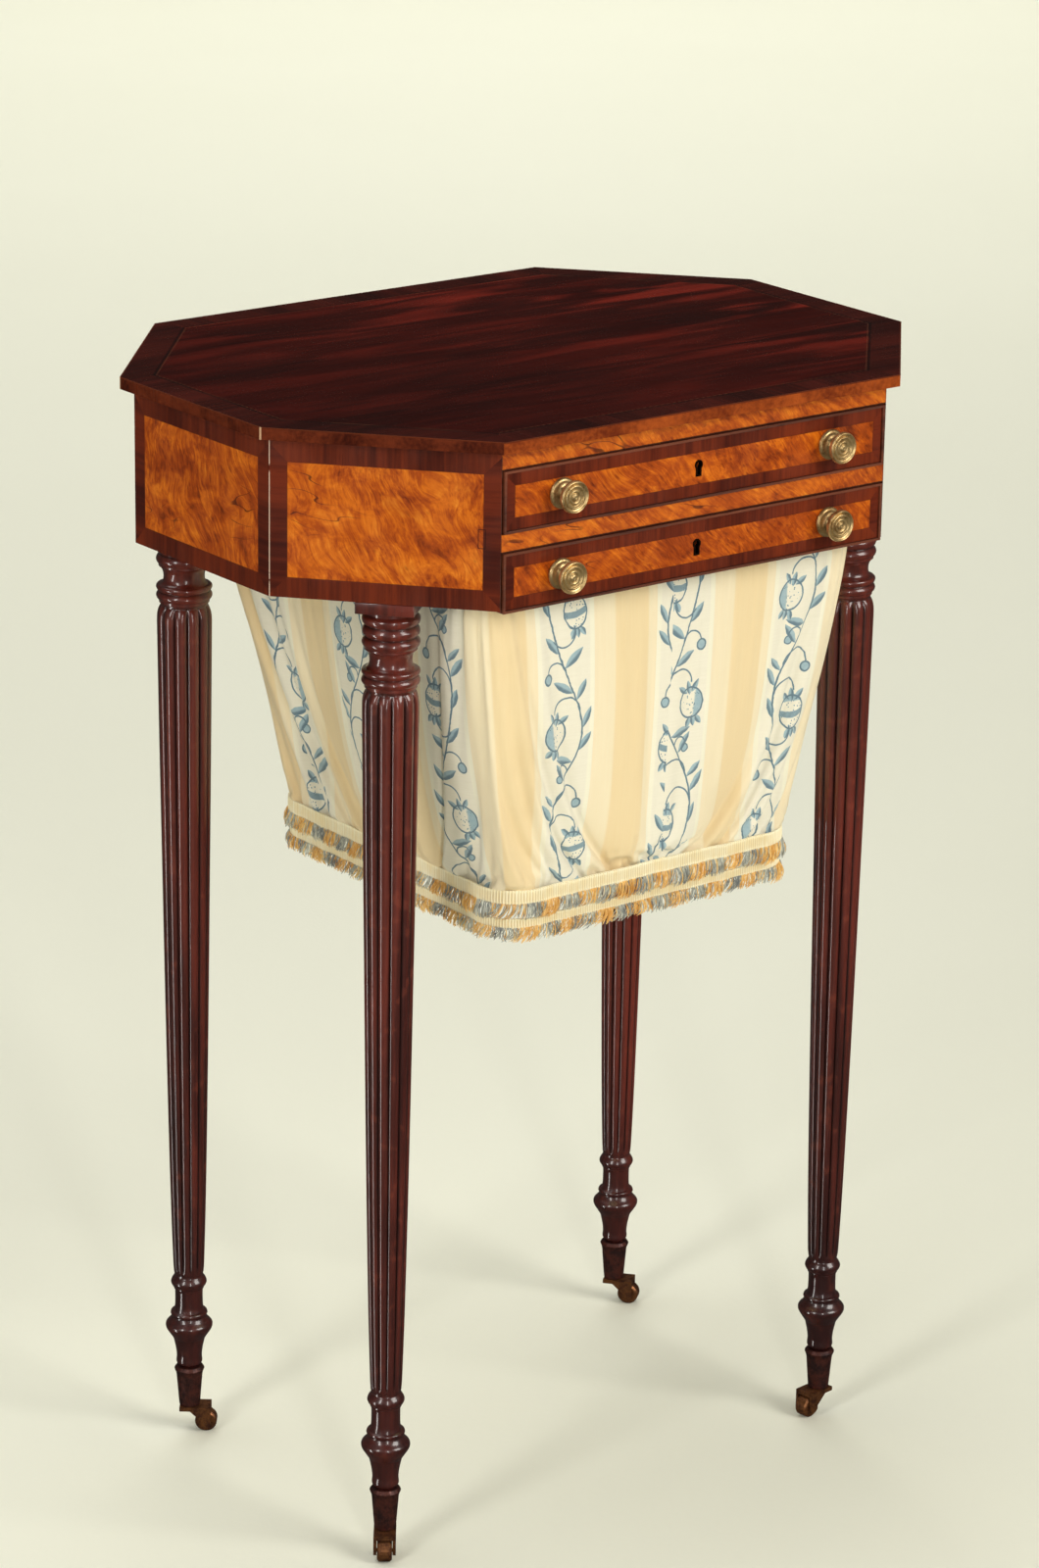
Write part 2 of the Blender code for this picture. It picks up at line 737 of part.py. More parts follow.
def bag(slide):
    """The cloth hangs from under the frame, and a stiff board keeps its bottom flat."""
    shape = bmesh.new()
    rings = []
    for z, half_x, half_y, middle, radius in BAG_SECTIONS:
        ring = section(half_x, half_y, middle, radius)
        rings.append([shape.verts.new((x, y, z)) for x, y in ring])
    for upper, lower in zip(rings, rings[1:]):
        for i in range(len(upper)):
            j = (i + 1) % len(upper)
            shape.faces.new((upper[i], lower[i], lower[j], upper[j]))
    shape.faces.new(list(reversed(rings[-1])))
    mesh = bpy.data.meshes.new("bag")
    shape.to_mesh(mesh)
    shape.free()
    cloth = bpy.data.objects.new("bag", mesh)
    bpy.context.scene.collection.objects.link(cloth)
    into(cloth, "bag", silk())
    thick = cloth.modifiers.new("cloth", "SOLIDIFY")
    thick.thickness = BAG_CLOTH
    thick.offset = -1.0
    thick.use_even_offset = True
    smooth(cloth)
    ride(cloth, slide)
    low = BAG_SECTIONS[-1]
    base = low[0] + BAG_CLOTH + GAP
    shrink = BAG_CLOTH + BAG_BOARD_PLAY
    card = outline(
        "bag_board", [section(low[1] - shrink, low[2] - shrink, low[3], low[4] - shrink)],
        base, base + BAG_BOARD_THICK, board_card(),
    )
    ride(card, slide)
    for name, inside, (bottom, top) in (
        ("fringe_upper", 0.0034, FRINGE_UPPER_Z), ("fringe_lower", -0.0010, FRINGE_LOWER_Z),
    ):
        outer = section(*low[1:], grow=inside + FRINGE_THICK)
        hole = section(*low[1:], grow=inside)
        ride(outline(name, [outer, hole], bottom, top, fringe_thread()), slide)


top_board()
case()
rails()
runners()
legs()
casters()
upper_drawer()
bag_drawer()
bpy.context.view_layer.update()
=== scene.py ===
import math
import random

import bmesh
import bpy
import numpy as np
from mathutils import Matrix, Vector, noise


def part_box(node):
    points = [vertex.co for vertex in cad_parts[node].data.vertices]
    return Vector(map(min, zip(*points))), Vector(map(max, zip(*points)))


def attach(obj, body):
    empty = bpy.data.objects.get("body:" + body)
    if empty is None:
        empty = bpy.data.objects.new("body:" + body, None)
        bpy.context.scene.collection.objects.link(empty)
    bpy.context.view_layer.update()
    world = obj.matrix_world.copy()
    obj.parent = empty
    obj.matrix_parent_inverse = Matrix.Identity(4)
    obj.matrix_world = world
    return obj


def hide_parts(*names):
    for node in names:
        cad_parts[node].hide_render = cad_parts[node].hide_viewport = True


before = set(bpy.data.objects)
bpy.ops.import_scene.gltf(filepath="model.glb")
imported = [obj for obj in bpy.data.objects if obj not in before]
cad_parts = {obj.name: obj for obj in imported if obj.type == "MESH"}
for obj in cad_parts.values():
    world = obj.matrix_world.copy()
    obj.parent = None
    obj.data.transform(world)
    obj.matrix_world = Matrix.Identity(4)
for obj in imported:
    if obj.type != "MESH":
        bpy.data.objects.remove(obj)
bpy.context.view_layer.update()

# The canted corners, each with the point of the top's octagon that its side starts at.
CANTS = {"front_left": 7, "front_right": 1, "back_right": 3, "back_left": 5}


# ---- camera, floor and light

def rgb(r, g, b):
    """A colour in linear light from its usual 0-255 values."""
    def line(c):
        c /= 255.0
        return c / 12.92 if c <= 0.04045 else ((c + 0.055) / 1.055) ** 2.4
    return (line(r), line(g), line(b))


def stand(name, data):
    """A new object in the scene."""
    obj = bpy.data.objects.new(name, data)
    bpy.context.scene.collection.objects.link(obj)
    return obj


def camera():
    """A long lens looking down at the table from its front left."""
    data = bpy.data.cameras.new("camera")
    cam = stand("camera", data)
    data.sensor_fit = "VERTICAL"
    data.sensor_height = 24.0
    data.lens = 76.0
    azimuth, elevation, roll = -0.65474, 0.31743, 0.01534
    cam.matrix_world = (
        Matrix.Translation((-1.8494, -2.4138, 1.4488))
        @ Matrix.Rotation(azimuth, 4, "Z")
        @ Matrix.Rotation(math.pi / 2 - elevation, 4, "X")
        @ Matrix.Rotation(roll, 4, "Z")
    )
    data.clip_end = 50
    bpy.context.scene.camera = cam


def area_light(name, place, aim, size, power, colour):
    """A rectangular lamp, size metres wide and tall, aimed at a point."""
    data = bpy.data.lights.new(name, "AREA")
    data.shape = "RECTANGLE"
    data.size, data.size_y = size
    data.energy = power
    data.color = colour
    lamp = stand(name, data)
    lamp.location = place
    lamp.rotation_euler = (Vector(aim) - Vector(place)).to_track_quat("-Z", "Y").to_euler()
    return lamp


def studio():
    """A round pale floor that turns up into a wall, with soft lamps over it."""
    flat, bend, tall, bend_steps = 6.5, 1.6, 4.5, 12
    path = [(0.02, 0.0), (1.5, 0.0), (flat, 0.0)]
    for i in range(1, bend_steps + 1):
        turn = math.pi / 2 * i / bend_steps
        path.append((flat + bend * math.sin(turn), bend - bend * math.cos(turn)))
    path.append((flat + bend, tall))
    shape = bmesh.new()
    lathe(shape, path, 96, open_end=True)
    mesh = bpy.data.meshes.new("backdrop")
    shape.to_mesh(mesh)
    shape.free()
    mesh.shade_smooth()
    sheet = stand("backdrop", mesh)
    # The real studio's walls are dark beyond the floor, so polished wood doesn't mirror a pale one.
    sheet.visible_glossy = False
    paint = Paint("backdrop")
    mottle = paint.noise(paint.place(), 1.3, 3)
    paint.finish(
        paint.mix(mottle, rgb(240, 240, 223), rgb(244, 244, 228)), 0.9,
        bump=paint.noise(paint.place(), 220, 2), bump_depth=0.0002,
    )
    sheet.data.materials.append(paint.material)

    world = bpy.data.worlds.new("world")
    world.use_nodes = True
    background = world.node_tree.nodes["Background"]
    background.inputs["Color"].default_value = (0.95, 0.97, 0.88, 1)
    background.inputs["Strength"].default_value = 0.05
    bpy.context.scene.world = world
    bpy.context.scene.view_settings.view_transform = "Standard"
    white, warm = (1.0, 0.99, 0.96), (1.0, 0.975, 0.925)
    area_light("ceiling", (-0.5, 1.1, 3.6), (-0.5, 1.1, 0), (3.0, 3.0), 58, white)
    area_light("key", (1.2, -2.9, 2.1), (0, 0, 0.45), (1.8, 1.8), 73, warm)
    area_light("fill", (-2.9, -0.9, 1.7), (0, 0, 0.5), (0.6, 1.8), 31, white)
    area_light("strip", (-1.2, -2.4, 1.0), (0, 0, 0.45), (0.2, 1.8), 15, white)
    far = area_light("back", (3.4, 4.4, 3.4), (3.4, 4.4, 0.0), (4.6, 4.6), 142, white)
    far.visible_glossy = False
    # A low card, which only polish mirrors, draws bright streaks down the reeds.
    card = area_light("card", (-2.2, 0.5, -0.3), (0, 0, 0.4), (0.25, 1.5), 15, white)
    card.visible_diffuse = False


# ---- node materials

def operator(kind, swapped=False):
    """A method for Term that joins two terms with one Math node."""
    def apply(self, other):
        pair = (other, self) if swapped else (self, other)
        return self.paint.math(kind, *pair)
    return apply


class Term:
    """A number or a colour inside a material, which plain arithmetic builds on."""

    def __init__(self, paint, socket):
        self.paint = paint
        self.socket = socket

    def __abs__(self):
        return self.paint.math("ABSOLUTE", self)

    __add__ = operator("ADD")
    __radd__ = operator("ADD", swapped=True)
    __sub__ = operator("SUBTRACT")
    __rsub__ = operator("SUBTRACT", swapped=True)
    __mul__ = operator("MULTIPLY")
    __rmul__ = operator("MULTIPLY", swapped=True)
    __truediv__ = operator("DIVIDE")


class Paint:
    """One node material."""

    def __init__(self, name):
        self.material = bpy.data.materials.new(name)
        self.material.use_nodes = True
        self.tree = self.material.node_tree
        self.shader = self.tree.nodes["Principled BSDF"]

    def node(self, kind, values=(), output=0, **settings):
        """An output of a new node. values are its inputs in order, or by name or number."""
        made = self.tree.nodes.new("ShaderNode" + kind)
        for key, value in settings.items():
            setattr(made, key, value)
        pairs = values.items() if isinstance(values, dict) else enumerate(values)
        for key, value in pairs:
            self.put(value, made.inputs[key])
        return Term(self, made.outputs[output])

    def put(self, value, socket):
        if isinstance(value, Term):
            self.tree.links.new(value.socket, socket)
        elif socket.type == "RGBA":
            socket.default_value = (*value, 1.0)
        else:
            socket.default_value = value

    def math(self, kind, *values):
        return self.node("Math", values, operation=kind)

    def place(self):
        """The point in metres: its x, y, z at rest."""
        return self.node("TexCoord", output="Object")

    def split(self, vector):
        made = self.node("SeparateXYZ", [vector]).socket.node
        return [Term(self, socket) for socket in made.outputs]

    def join(self, x, y, z=0.0):
        return self.node("CombineXYZ", (x, y, z))

    def cloth_uv(self):
        return self.split(self.node("UVMap", uv_map="cloth"))[:2]

    def layer(self, name):
        return self.node("Attribute", output="Fac", attribute_name=name)

    def noise(self, vector, scale, detail=3.0, rough=0.5, distort=0.0):
        return self.node("TexNoise", {
            "Vector": vector, "Scale": scale, "Detail": detail, "Roughness": rough,
            "Distortion": distort,
        })

    def cloud(self, place, *settings):
        """Noise over two or three coordinates that are scaled already."""
        return self.noise(self.join(*place), 1.0, *settings)

    def cells(self, vector, scale):
        return self.node("TexVoronoi", {"Vector": vector, "Scale": scale}, "Distance")

    def wrap(self, value, span):
        """What is left of value after whole spans."""
        return value - self.math("FLOOR", value / span) * span

    def step(self, value, low, high, out_low=0.0, out_high=1.0):
        ends = (low, high, out_low, out_high)
        return self.node("MapRange", (value, *ends), interpolation_type="SMOOTHSTEP")

    def mix(self, factor, a, b):
        return self.node("Mix", {"Factor": factor, 6: a, 7: b}, 2, data_type="RGBA")

    def ramp(self, factor, *stops):
        made = self.node("ValToRGB", [factor])
        items = made.socket.node.color_ramp.elements
        while len(items) < len(stops):
            items.new(0.5)
        for item, (place, colour) in zip(items, stops):
            item.position = place
            item.color = (*colour, 1.0)
        return made

    def both(self, a, b):
        return self.math("MINIMUM", a, b)

    def either(self, a, b):
        return self.math("MAXIMUM", a, b)

    def finish(self, colour, rough, metal=0.0, bump=None, bump_depth=0.0005, coat=0.0,
               coat_rough=0.1, sheen=0.0, specular=0.5):
        values = {
            "Base Color": colour, "Roughness": rough, "Metallic": metal, "Coat Weight": coat,
            "Coat Roughness": coat_rough, "Sheen Weight": sheen, "Specular IOR Level": specular,
        }
        if bump is not None:
            heights = {"Strength": 1.0, "Distance": bump_depth, "Height": bump}
            values["Normal"] = self.node("Bump", heights)
        for name, value in values.items():
            self.put(value, self.shader.inputs[name])
        return self.material


DEEP = rgb(28, 9, 7)
LIGHT_GOLD = rgb(230, 138, 34)
GOLD = rgb(204, 102, 15)
AMBER = rgb(166, 70, 10)
UMBER = rgb(104, 38, 8)


def dark_wood(paint, along, across, third, light, dark):
    """Long-grained wood: its colour and its height. along runs with the grain, in metres."""
    cloud = paint.cloud((along * 3.0, across * 22.0, third * 22.0), 3, 0.55, 0.6)
    streak = paint.cloud((along * 12.0, across * 320.0, third * 320.0), 4, 0.6)
    pores = paint.cloud((along * 90.0, across * 1500.0, third * 1500.0), 2)
    tone = paint.step(cloud * 0.65 + streak * 0.35, 0.34, 0.66)
    colour = paint.mix(tone, dark, light)
    fleck = paint.step(pores, 0.62, 0.74)
    colour = paint.mix(fleck * 0.55, colour, DEEP)
    return colour, streak * 0.5 - fleck * 0.6


def figured(paint, s, z, lean=1.0, seed=0.0, swirl=1.0, dim=0.0, fine=1.0):
    """Golden flame figure, in metres: soft clouds, short curly feathers, dark eyes and cracks."""
    drift = paint.cloud((s * 13.0 + seed, z * 16.0), 2) - 0.5
    sway = paint.cloud((s * 13.0 + seed + 7.3, z * 16.0 + 3.1), 2) - 0.5
    run = s + z * (lean * 0.45) + drift * (0.055 * swirl)
    rise = z + sway * (0.05 * swirl)
    feather = paint.cloud((run * (460.0 * fine) + seed, rise * 120.0), 5, 0.68, 0.9) - 0.5
    curl = paint.cloud((run * (150.0 * fine) + seed * 1.3, rise * 64.0), 4, 0.62, 1.2) - 0.5
    cloud = paint.cloud((s * 44.0 + seed * 3.0, z * 60.0), 5, 0.62, 0.8) - 0.5
    where = paint.cloud((s * 20.0 + seed * 5.0, z * 26.0), 2)
    strong = paint.step(where, 0.38, 0.6, 0.35, 1.0)
    tone = feather * strong * 0.6 + curl * 0.5 + cloud * 0.58 + (0.485 - dim * 0.055)
    colour = paint.ramp(tone, (0.24, UMBER), (0.4, AMBER), (0.53, GOLD), (0.7, LIGHT_GOLD))
    eyes = paint.step(paint.cells(paint.join(run * 250.0, rise * 200.0), 1.0), 0.36, 0.08)
    eyes = eyes * paint.step(where, 0.5, 0.62)
    colour = paint.mix(eyes * 0.7, colour, rgb(108, 34, 8))
    colour = paint.mix(paint.step(where, 0.52, 0.68) * 0.35, colour, rgb(132, 48, 10))
    line = paint.cloud((s * 26.0 + seed * 7.0, z * 95.0 + s * 18.0), 1)
    crack = paint.step(abs(line - 0.5), 0.012, 0.003) * paint.step(where, 0.44, 0.36)
    colour = paint.mix(crack * 0.75, colour, rgb(54, 20, 12))
    return colour, feather * 0.3 - crack * 0.4


def veneered(name, s, half, z_low, z_high, border, arris_glint_and_wear=(0.0, 0.0), patch=None, back=None,
             **figure):
    """A golden panel inside crossbanding. s gives the place along the panel from x and y.

    border is the banding's width at the ends, below and above. The next argument is how strongly a
    pale line shows at the low and the high end: a painted highlight along the worn arris there.
    patch is a small let-in repair: its ends, foot and top.
    Past back, in Y, the wood is plain.
    """
    paint = Paint(name)
    x, y, height = paint.split(paint.place())
    along = s(x, y)
    edge_s = half - border[0] - abs(along)
    edge_z = paint.both(z_high - border[2] - height, height - z_low - border[1])
    inside = paint.both(edge_s, edge_z)
    golden, gold_bump = figured(paint, along, height - z_low, **figure)
    ends, _ = dark_wood(paint, along, height, 0.0, rgb(110, 40, 19), rgb(60, 18, 11))
    rows, _ = dark_wood(paint, height, along, 0.0, rgb(120, 45, 19), rgb(62, 19, 11))
    # The banding's grain runs across each strip, and its corners are mitred.
    level = paint.step(edge_s - edge_z, -0.0001, 0.0001)
    band = paint.mix(level, ends, rows)
    within = paint.step(inside, -0.00015, 0.00015)
    joint = paint.step(abs(inside), 0.0004, 0.0001)
    colour = paint.mix(within, band, golden)
    colour = paint.mix(joint * 0.45, colour, rgb(60, 24, 10))
    if patch:
        left, right, low, high = patch
        in_patch = paint.both(
            paint.both(along - left, right - along), paint.both(height - low, high - height)
        )
        colour = paint.mix(paint.step(abs(in_patch), 0.00045, 0.00015) * 0.75, colour, DEEP)
    chipped = paint.cloud((height * 160.0, along * 20.0), 3)
    # Pale lines at the panel ends: a painted highlight on the worn arrises, broken where the edge
    # is chipped.
    for strength, edge in zip(arris_glint_and_wear, (along + half, half - along)):
        if strength:
            line = paint.step(edge, 0.00048, 0.00024) * paint.step(chipped, 0.34, 0.42)
            colour = paint.mix(line * strength, colour, rgb(232, 206, 184))
    if back is not None:
        core, _ = dark_wood(paint, x, height, y, rgb(158, 100, 60), rgb(118, 68, 40))
        colour = paint.mix(paint.step(y, back, back + 0.0005), colour, core)
    wear = paint.step(paint.cloud((along * 40, height * 40), 4), 0.35, 0.75)
    return paint.finish(
        colour, 0.3 + wear * 0.14, bump=gold_bump * within - joint * 0.25, bump_depth=0.0001,
        coat=0.12, coat_rough=0.12, specular=0.22,
    )


def plain_wood(name, light, dark, axis, rough, coat=0.0):
    """Wood whose grain runs along X (axis 0) or Y (axis 1)."""
    paint = Paint(name)
    parts = paint.split(paint.place())
    along = parts.pop(axis)
    colour, grain = dark_wood(paint, along, parts[0], parts[1], light, dark)
    worn = paint.noise(paint.place(), 60, 4)
    return paint.finish(
        colour, rough + worn * 0.15, bump=grain, bump_depth=0.0002, coat=coat, coat_rough=0.15
    )


def leg_wood():
    paint = Paint("leg_mahogany")
    x, y, z = paint.split(paint.place())
    colour, grain = dark_wood(paint, z, x, y, rgb(112, 42, 30), rgb(54, 17, 13))
    # Painted shade: the hollows between the reeds and the grooves between the rings are darkened.
    depth = paint.step(paint.layer("hollow"), 0.02, 0.12)
    colour = paint.mix(depth * 0.86, colour, rgb(18, 6, 5))
    worn = paint.noise(paint.place(), 90, 4)
    bright = paint.step(worn, 0.56, 0.7) * (1.0 - depth)
    colour = paint.mix(bright * 0.3, colour, rgb(142, 62, 40))
    # The feet darken towards the floor.
    colour = paint.mix(paint.step(z, 0.2, 0.09) * 0.55, colour, rgb(34, 14, 16))
    return paint.finish(
        colour, 0.26 + worn * 0.14, bump=grain, bump_depth=0.00012, coat=0.85, coat_rough=0.09
    )


TOP_BORDER = 0.02


def board_wood():
    """The top: long grain inside a crossbanded border with a thin line along it."""
    paint = Paint("top_mahogany")
    x, y, z = paint.split(paint.place())
    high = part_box("top_board")[1]
    first, second = cant("front_right")
    mid = (first + second) / 2
    normal = Vector((second.y - first.y, first.x - second.x)).normalized()
    ax, ay = abs(x), abs(y)
    end = high[0] - ax
    side = high[1] - ay
    slant = abs(mid.dot(normal)) - (ax * abs(normal.x) + ay * abs(normal.y))
    inside = paint.both(paint.both(end, side), slant)
    field, grain = dark_wood(paint, x + y * 0.05, y, 0.0, rgb(62, 12, 6), rgb(35, 6, 4))
    ribbon = paint.cloud((x * 6.0 + y * 3.0, y * 42.0), 3, 0.5, 1.0)
    red = paint.step(ribbon, 0.44, 0.7) * paint.step(x + y, -0.15, 0.26, 0.18, 1.0)
    field = paint.mix(red * 0.9, field, rgb(118, 32, 20))
    across_x, across_y = (
        dark_wood(paint, a, b, 0.0, rgb(74, 24, 16), rgb(34, 9, 7))[0] for a, b in ((x, y), (y, x))
    )
    sides = paint.step(side - paint.both(end, slant), -0.0001, 0.0001)
    band = paint.mix(sides, across_y, across_x)
    within = paint.step(inside, TOP_BORDER - 0.0002, TOP_BORDER + 0.0002)
    colour = paint.mix(within, band, field)
    line = paint.step(abs(inside - TOP_BORDER), 0.0011, 0.0006)
    check = paint.math("SINE", (x + y) * 1400.0)
    colour = paint.mix(line * 0.7, colour, rgb(18, 7, 6))
    fine = paint.step(abs(inside - TOP_BORDER - 0.0014), 0.0005, 0.0002)
    colour = paint.mix(fine * 0.6 * paint.step(check, -0.6, 0.2), colour, rgb(104, 66, 46))
    scuff = paint.cloud((x * 16.0, y * 16.0), 5, 0.6)
    # The board's edge is paler than its face, partly as painted light; the arris is rubbed, and the
    # corners carry a painted highlight as well as wear.
    below = paint.step(z, high[2] - 0.0004, high[2] - 0.001)
    # Painted light: the long front and back edges are paler than the canted and end edges, as if
    # more brightly lit.
    front = paint.step(side, 0.001, 0.0006)
    rim_light = paint.mix(front, rgb(104, 44, 24), rgb(162, 76, 30))
    rim_dark = paint.mix(front, rgb(52, 18, 12), rgb(98, 38, 18))
    rim_wood, _ = dark_wood(paint, x + y, z, x - y, rim_light, rim_dark)
    colour = paint.mix(below, colour, rim_wood)
    arris = paint.both(paint.step(inside, 0.0012, 0.0002), 1.0 - below)
    colour = paint.mix(arris * 0.5, colour, rgb(120, 58, 34))
    # The corners' vertical arrises are painted pale: a painted highlight on top of real wear.
    corner_glint_and_wear = paint.step(paint.either(end, slant), 0.0007, 0.0003)
    colour = paint.mix(corner_glint_and_wear * 0.7, colour, rgb(214, 176, 140))
    return paint.finish(
        colour, paint.step(scuff, 0.3, 0.8, 0.22, 0.38), bump=grain * 0.6 - line * 0.3,
        bump_depth=0.0001, specular=0.04,
    )


def metal(name, bright, dull, rough, spread, patina=0.5, shine=1.0):
    """Old metal with duller clouds. patina is how much of it is dull."""
    paint = Paint(name)
    cloud = paint.noise(paint.place(), 160, 4, 0.6)
    speck = paint.noise(paint.place(), 900, 3)
    worn = paint.step(cloud * 0.7 + speck * 0.3, 0.5 - 0.2 * patina, 0.75 - 0.2 * patina)
    return paint.finish(
        paint.mix(worn, bright, dull), paint.step(cloud, 0.3, 0.7, rough, rough + spread),
        metal=shine, bump=speck + cloud, bump_depth=0.00006,
    )


# ---- shapes

CANT_WIDE, CANT_DEEP = 0.0976, 0.11


def cant(name):
    """The two points of the top's octagon that one canted side runs between."""
    x, y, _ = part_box("top_board")[1]
    along, up = x - CANT_WIDE, y - CANT_DEEP
    ring = [Vector(p) for p in (
        (-along, -y), (along, -y), (x, -up), (x, up), (along, y), (-along, y), (-x, up), (-x, -up),
    )]
    return ring[CANTS[name]], ring[(CANTS[name] + 1) % 8]


def add_mesh(name, shape, material, body, nodes, smooth=40):
    """A piece that rides a body and, unless nodes is empty, stands for those CAD pieces."""
    mesh = bpy.data.meshes.new(name)
    bmesh.ops.recalc_face_normals(shape, faces=shape.faces)
    shape.to_mesh(mesh)
    shape.free()
    mesh.shade_smooth()
    mesh.set_sharp_from_angle(angle=math.radians(smooth))
    obj = stand(name, mesh)
    mesh.materials.append(material)
    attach(obj, body)
    if nodes:
        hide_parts(*nodes)
    return obj


def skin(shape, rows):
    """Faces between each row of points and the next. Every row closes on itself."""
    made = []
    for upper, lower in zip(rows, rows[1:]):
        for i in range(len(upper)):
            j = (i + 1) % len(upper)
            made.append(shape.faces.new((upper[i], lower[i], lower[j], upper[j])))
    return made


def curve_through(points, steps):
    """A profile's points joined by smooth runs. A point marked sharp keeps its corner."""
    dense = []
    for i in range(len(points) - 1):
        a, b = points[i], points[i + 1]
        before = points[i - 1] if i and len(a) < 3 else a
        after = points[i + 2] if i + 2 < len(points) and len(b) < 3 else b
        for k in range(steps):
            t = k / steps
            row = []
            for axis in (0, 1):
                p0, p1, p2, p3 = before[axis], a[axis], b[axis], after[axis]
                row.append(0.5 * (
                    2 * p1 + (p2 - p0) * t + (2 * p0 - 5 * p1 + 4 * p2 - p3) * t * t
                    + (3 * p1 - p0 - 3 * p2 + p3) * t ** 3
                ))
            dense.append(tuple(row))
    dense.append(points[-1][:2])
    return dense


def metres(profile):
    """Radius and height from millimetres, each with its mark if it has one."""
    return [(radius / 1000, height / 1000, *mark) for radius, height, *mark in profile]


def sunk(profile, radius, height):
    """How deep a turned groove is here, as a share of the radius of the rings beside it."""
    near, slack = 0.0035, 0.0001
    above = max(r for r, z in profile if height - slack <= z < height + near)
    below = max(r for r, z in profile if height - near < z <= height + slack)
    return max(0.0, 1.0 - radius / min(above, below))


def lathe(shape, profile, around, place=Matrix.Identity(4), relief=None, layer=None,
          open_end=False):
    """Turns (radius, height) pairs about Z into shape. relief(turn, height) scales the radius.

    layer takes how far each point is sunk, below its reed's crest or between two rings.
    """
    rows = []
    for radius, height in profile:
        row = []
        for i in range(around):
            turn = 2 * math.pi * i / around
            factor = relief(turn, height) if relief else 1.0
            wide = radius * factor
            vert = shape.verts.new(
                place @ Vector((wide * math.cos(turn), wide * math.sin(turn), height))
            )
            if layer:
                vert[layer] = 1.0 - factor + sunk(profile, radius, height)
            row.append(vert)
        rows.append(row)
    skin(shape, rows)
    shape.faces.new(rows[0])
    if not open_end:
        shape.faces.new(list(reversed(rows[-1])))


REEDS = 12
REED_TOP, REED_BOTTOM = 0.57, 0.115
# Radius and height from the block down to the cup. A 1 marks a corner that stays sharp.
LEG_PROFILE = metres([
    (15, 624.5, 1), (15, 621.2, 1), (17.2, 619.8), (17.7, 618), (17.2, 616), (15.8, 614.6, 1),
    (17.1, 612.4), (17.5, 610.7), (17.1, 609), (15.8, 607.4, 1), (17.2, 605.5), (17.7, 603.7),
    (17.2, 602), (16.1, 600.6, 1), (16.1, 599.3, 1), (15, 598.5, 1), (13.6, 596), (13, 592.5),
    (13.5, 589.2), (15.2, 587.4, 1), (17.2, 586.9), (17.8, 585.5), (17.3, 584), (16.3, 582.8, 1),
    (17.4, 581.3), (17.8, 579.8), (17.2, 578.2), (16, 577.1, 1), (16, 575.5, 1), (15.1, 574.8, 1),
    (15.1, 573.2, 1), (16.1, 571.6), (17, 569), (17.5, 565), (17.5, 556), (17.2, 530), (16.5, 470),
    (15.5, 400), (14.4, 320), (13.1, 240), (11.7, 170), (10.4, 125), (9.9, 116), (9.4, 113.5, 1),
    (9.6, 111.8, 1), (11, 109.8), (11.8, 107.4), (11, 105.2), (9.9, 104, 1), (9.9, 103, 1),
    (9.2, 101.8), (9.1, 96), (9.3, 90), (10.1, 86.8, 1), (11.8, 86.2), (12.2, 84.8, 1),
    (11.4, 83.4), (12.8, 80.6), (15, 78.2), (15.5, 76.3), (14.9, 74), (12.4, 70), (10.5, 67, 1),
    (9.8, 64), (8.8, 59), (8.3, 53.9), (8.5, 49.5), (6.2, 47, 1), (6, 30, 1), (1, 28.5, 1),
])


def reeding(turn, height):
    """Rounded reeds with a sharp hollow between each two, fading in at both ends."""
    top = REED_TOP + 0.004
    if not REED_BOTTOM < height < top:
        return 1.0
    inner = min(1.0, (top - height) / 0.01, (height - REED_BOTTOM) / 0.008)
    inner = math.sin(inner * math.pi / 2) ** 0.5
    across = abs(math.cos(turn * REEDS / 2))
    return 1.0 - 0.135 * inner * (1.0 - across ** 0.62)


def leg(name, material):
    """One turned and reeded leg, with its square block turned to face out of the canted corner."""
    cup_low, cup_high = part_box("caster_cup_" + name)
    x, y = (cup_low[0] + cup_high[0]) / 2, (cup_low[1] + cup_high[1]) / 2
    first, second = cant(name)
    run = (second - first).normalized()
    out = Vector((run.y, -run.x))
    place = Matrix.Translation((x, y, 0)) @ Matrix.Rotation(math.atan2(out.x, -out.y), 4, "Z")
    shape = bmesh.new()
    hollow = shape.verts.layers.float.new("hollow")
    # Long steps along the reeds are split, so that the reeds stay round.
    profile = []
    for radius, height in curve_through(LEG_PROFILE, 4):
        if profile and REED_BOTTOM < height < REED_TOP and profile[-1][1] - height > 0.012:
            wide, high = profile[-1]
            parts = int((high - height) / 0.008) + 1
            for t in (k / parts for k in range(1, parts)):
                profile.append((wide + (radius - wide) * t, high + (height - high) * t))
        profile.append((radius, height))
    lathe(shape, profile, 12 * REEDS, place, reeding, hollow)
    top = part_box("leg_" + name)[1][2]
    for low, high in (
        ((-0.018, -0.0196, 0.6245), (0.018, 0.0164, 0.6317)),
        ((-0.018, -0.0136, 0.6318), (0.018, 0.016, top)),
    ):
        made = bmesh.ops.create_cube(shape, size=1.0)["verts"]
        size = Vector(high) - Vector(low)
        middle = (Vector(high) + Vector(low)) / 2
        for vert in made:
            vert.co = place @ (vert.co * size + middle)
        edges = list({edge for vert in made for edge in vert.link_edges})
        bmesh.ops.bevel(shape, geom=edges, offset=0.0005, segments=2, affect="EDGES", profile=0.5)
    add_mesh("fine_leg_" + name, shape, material, "table", ["leg_" + name], 50)


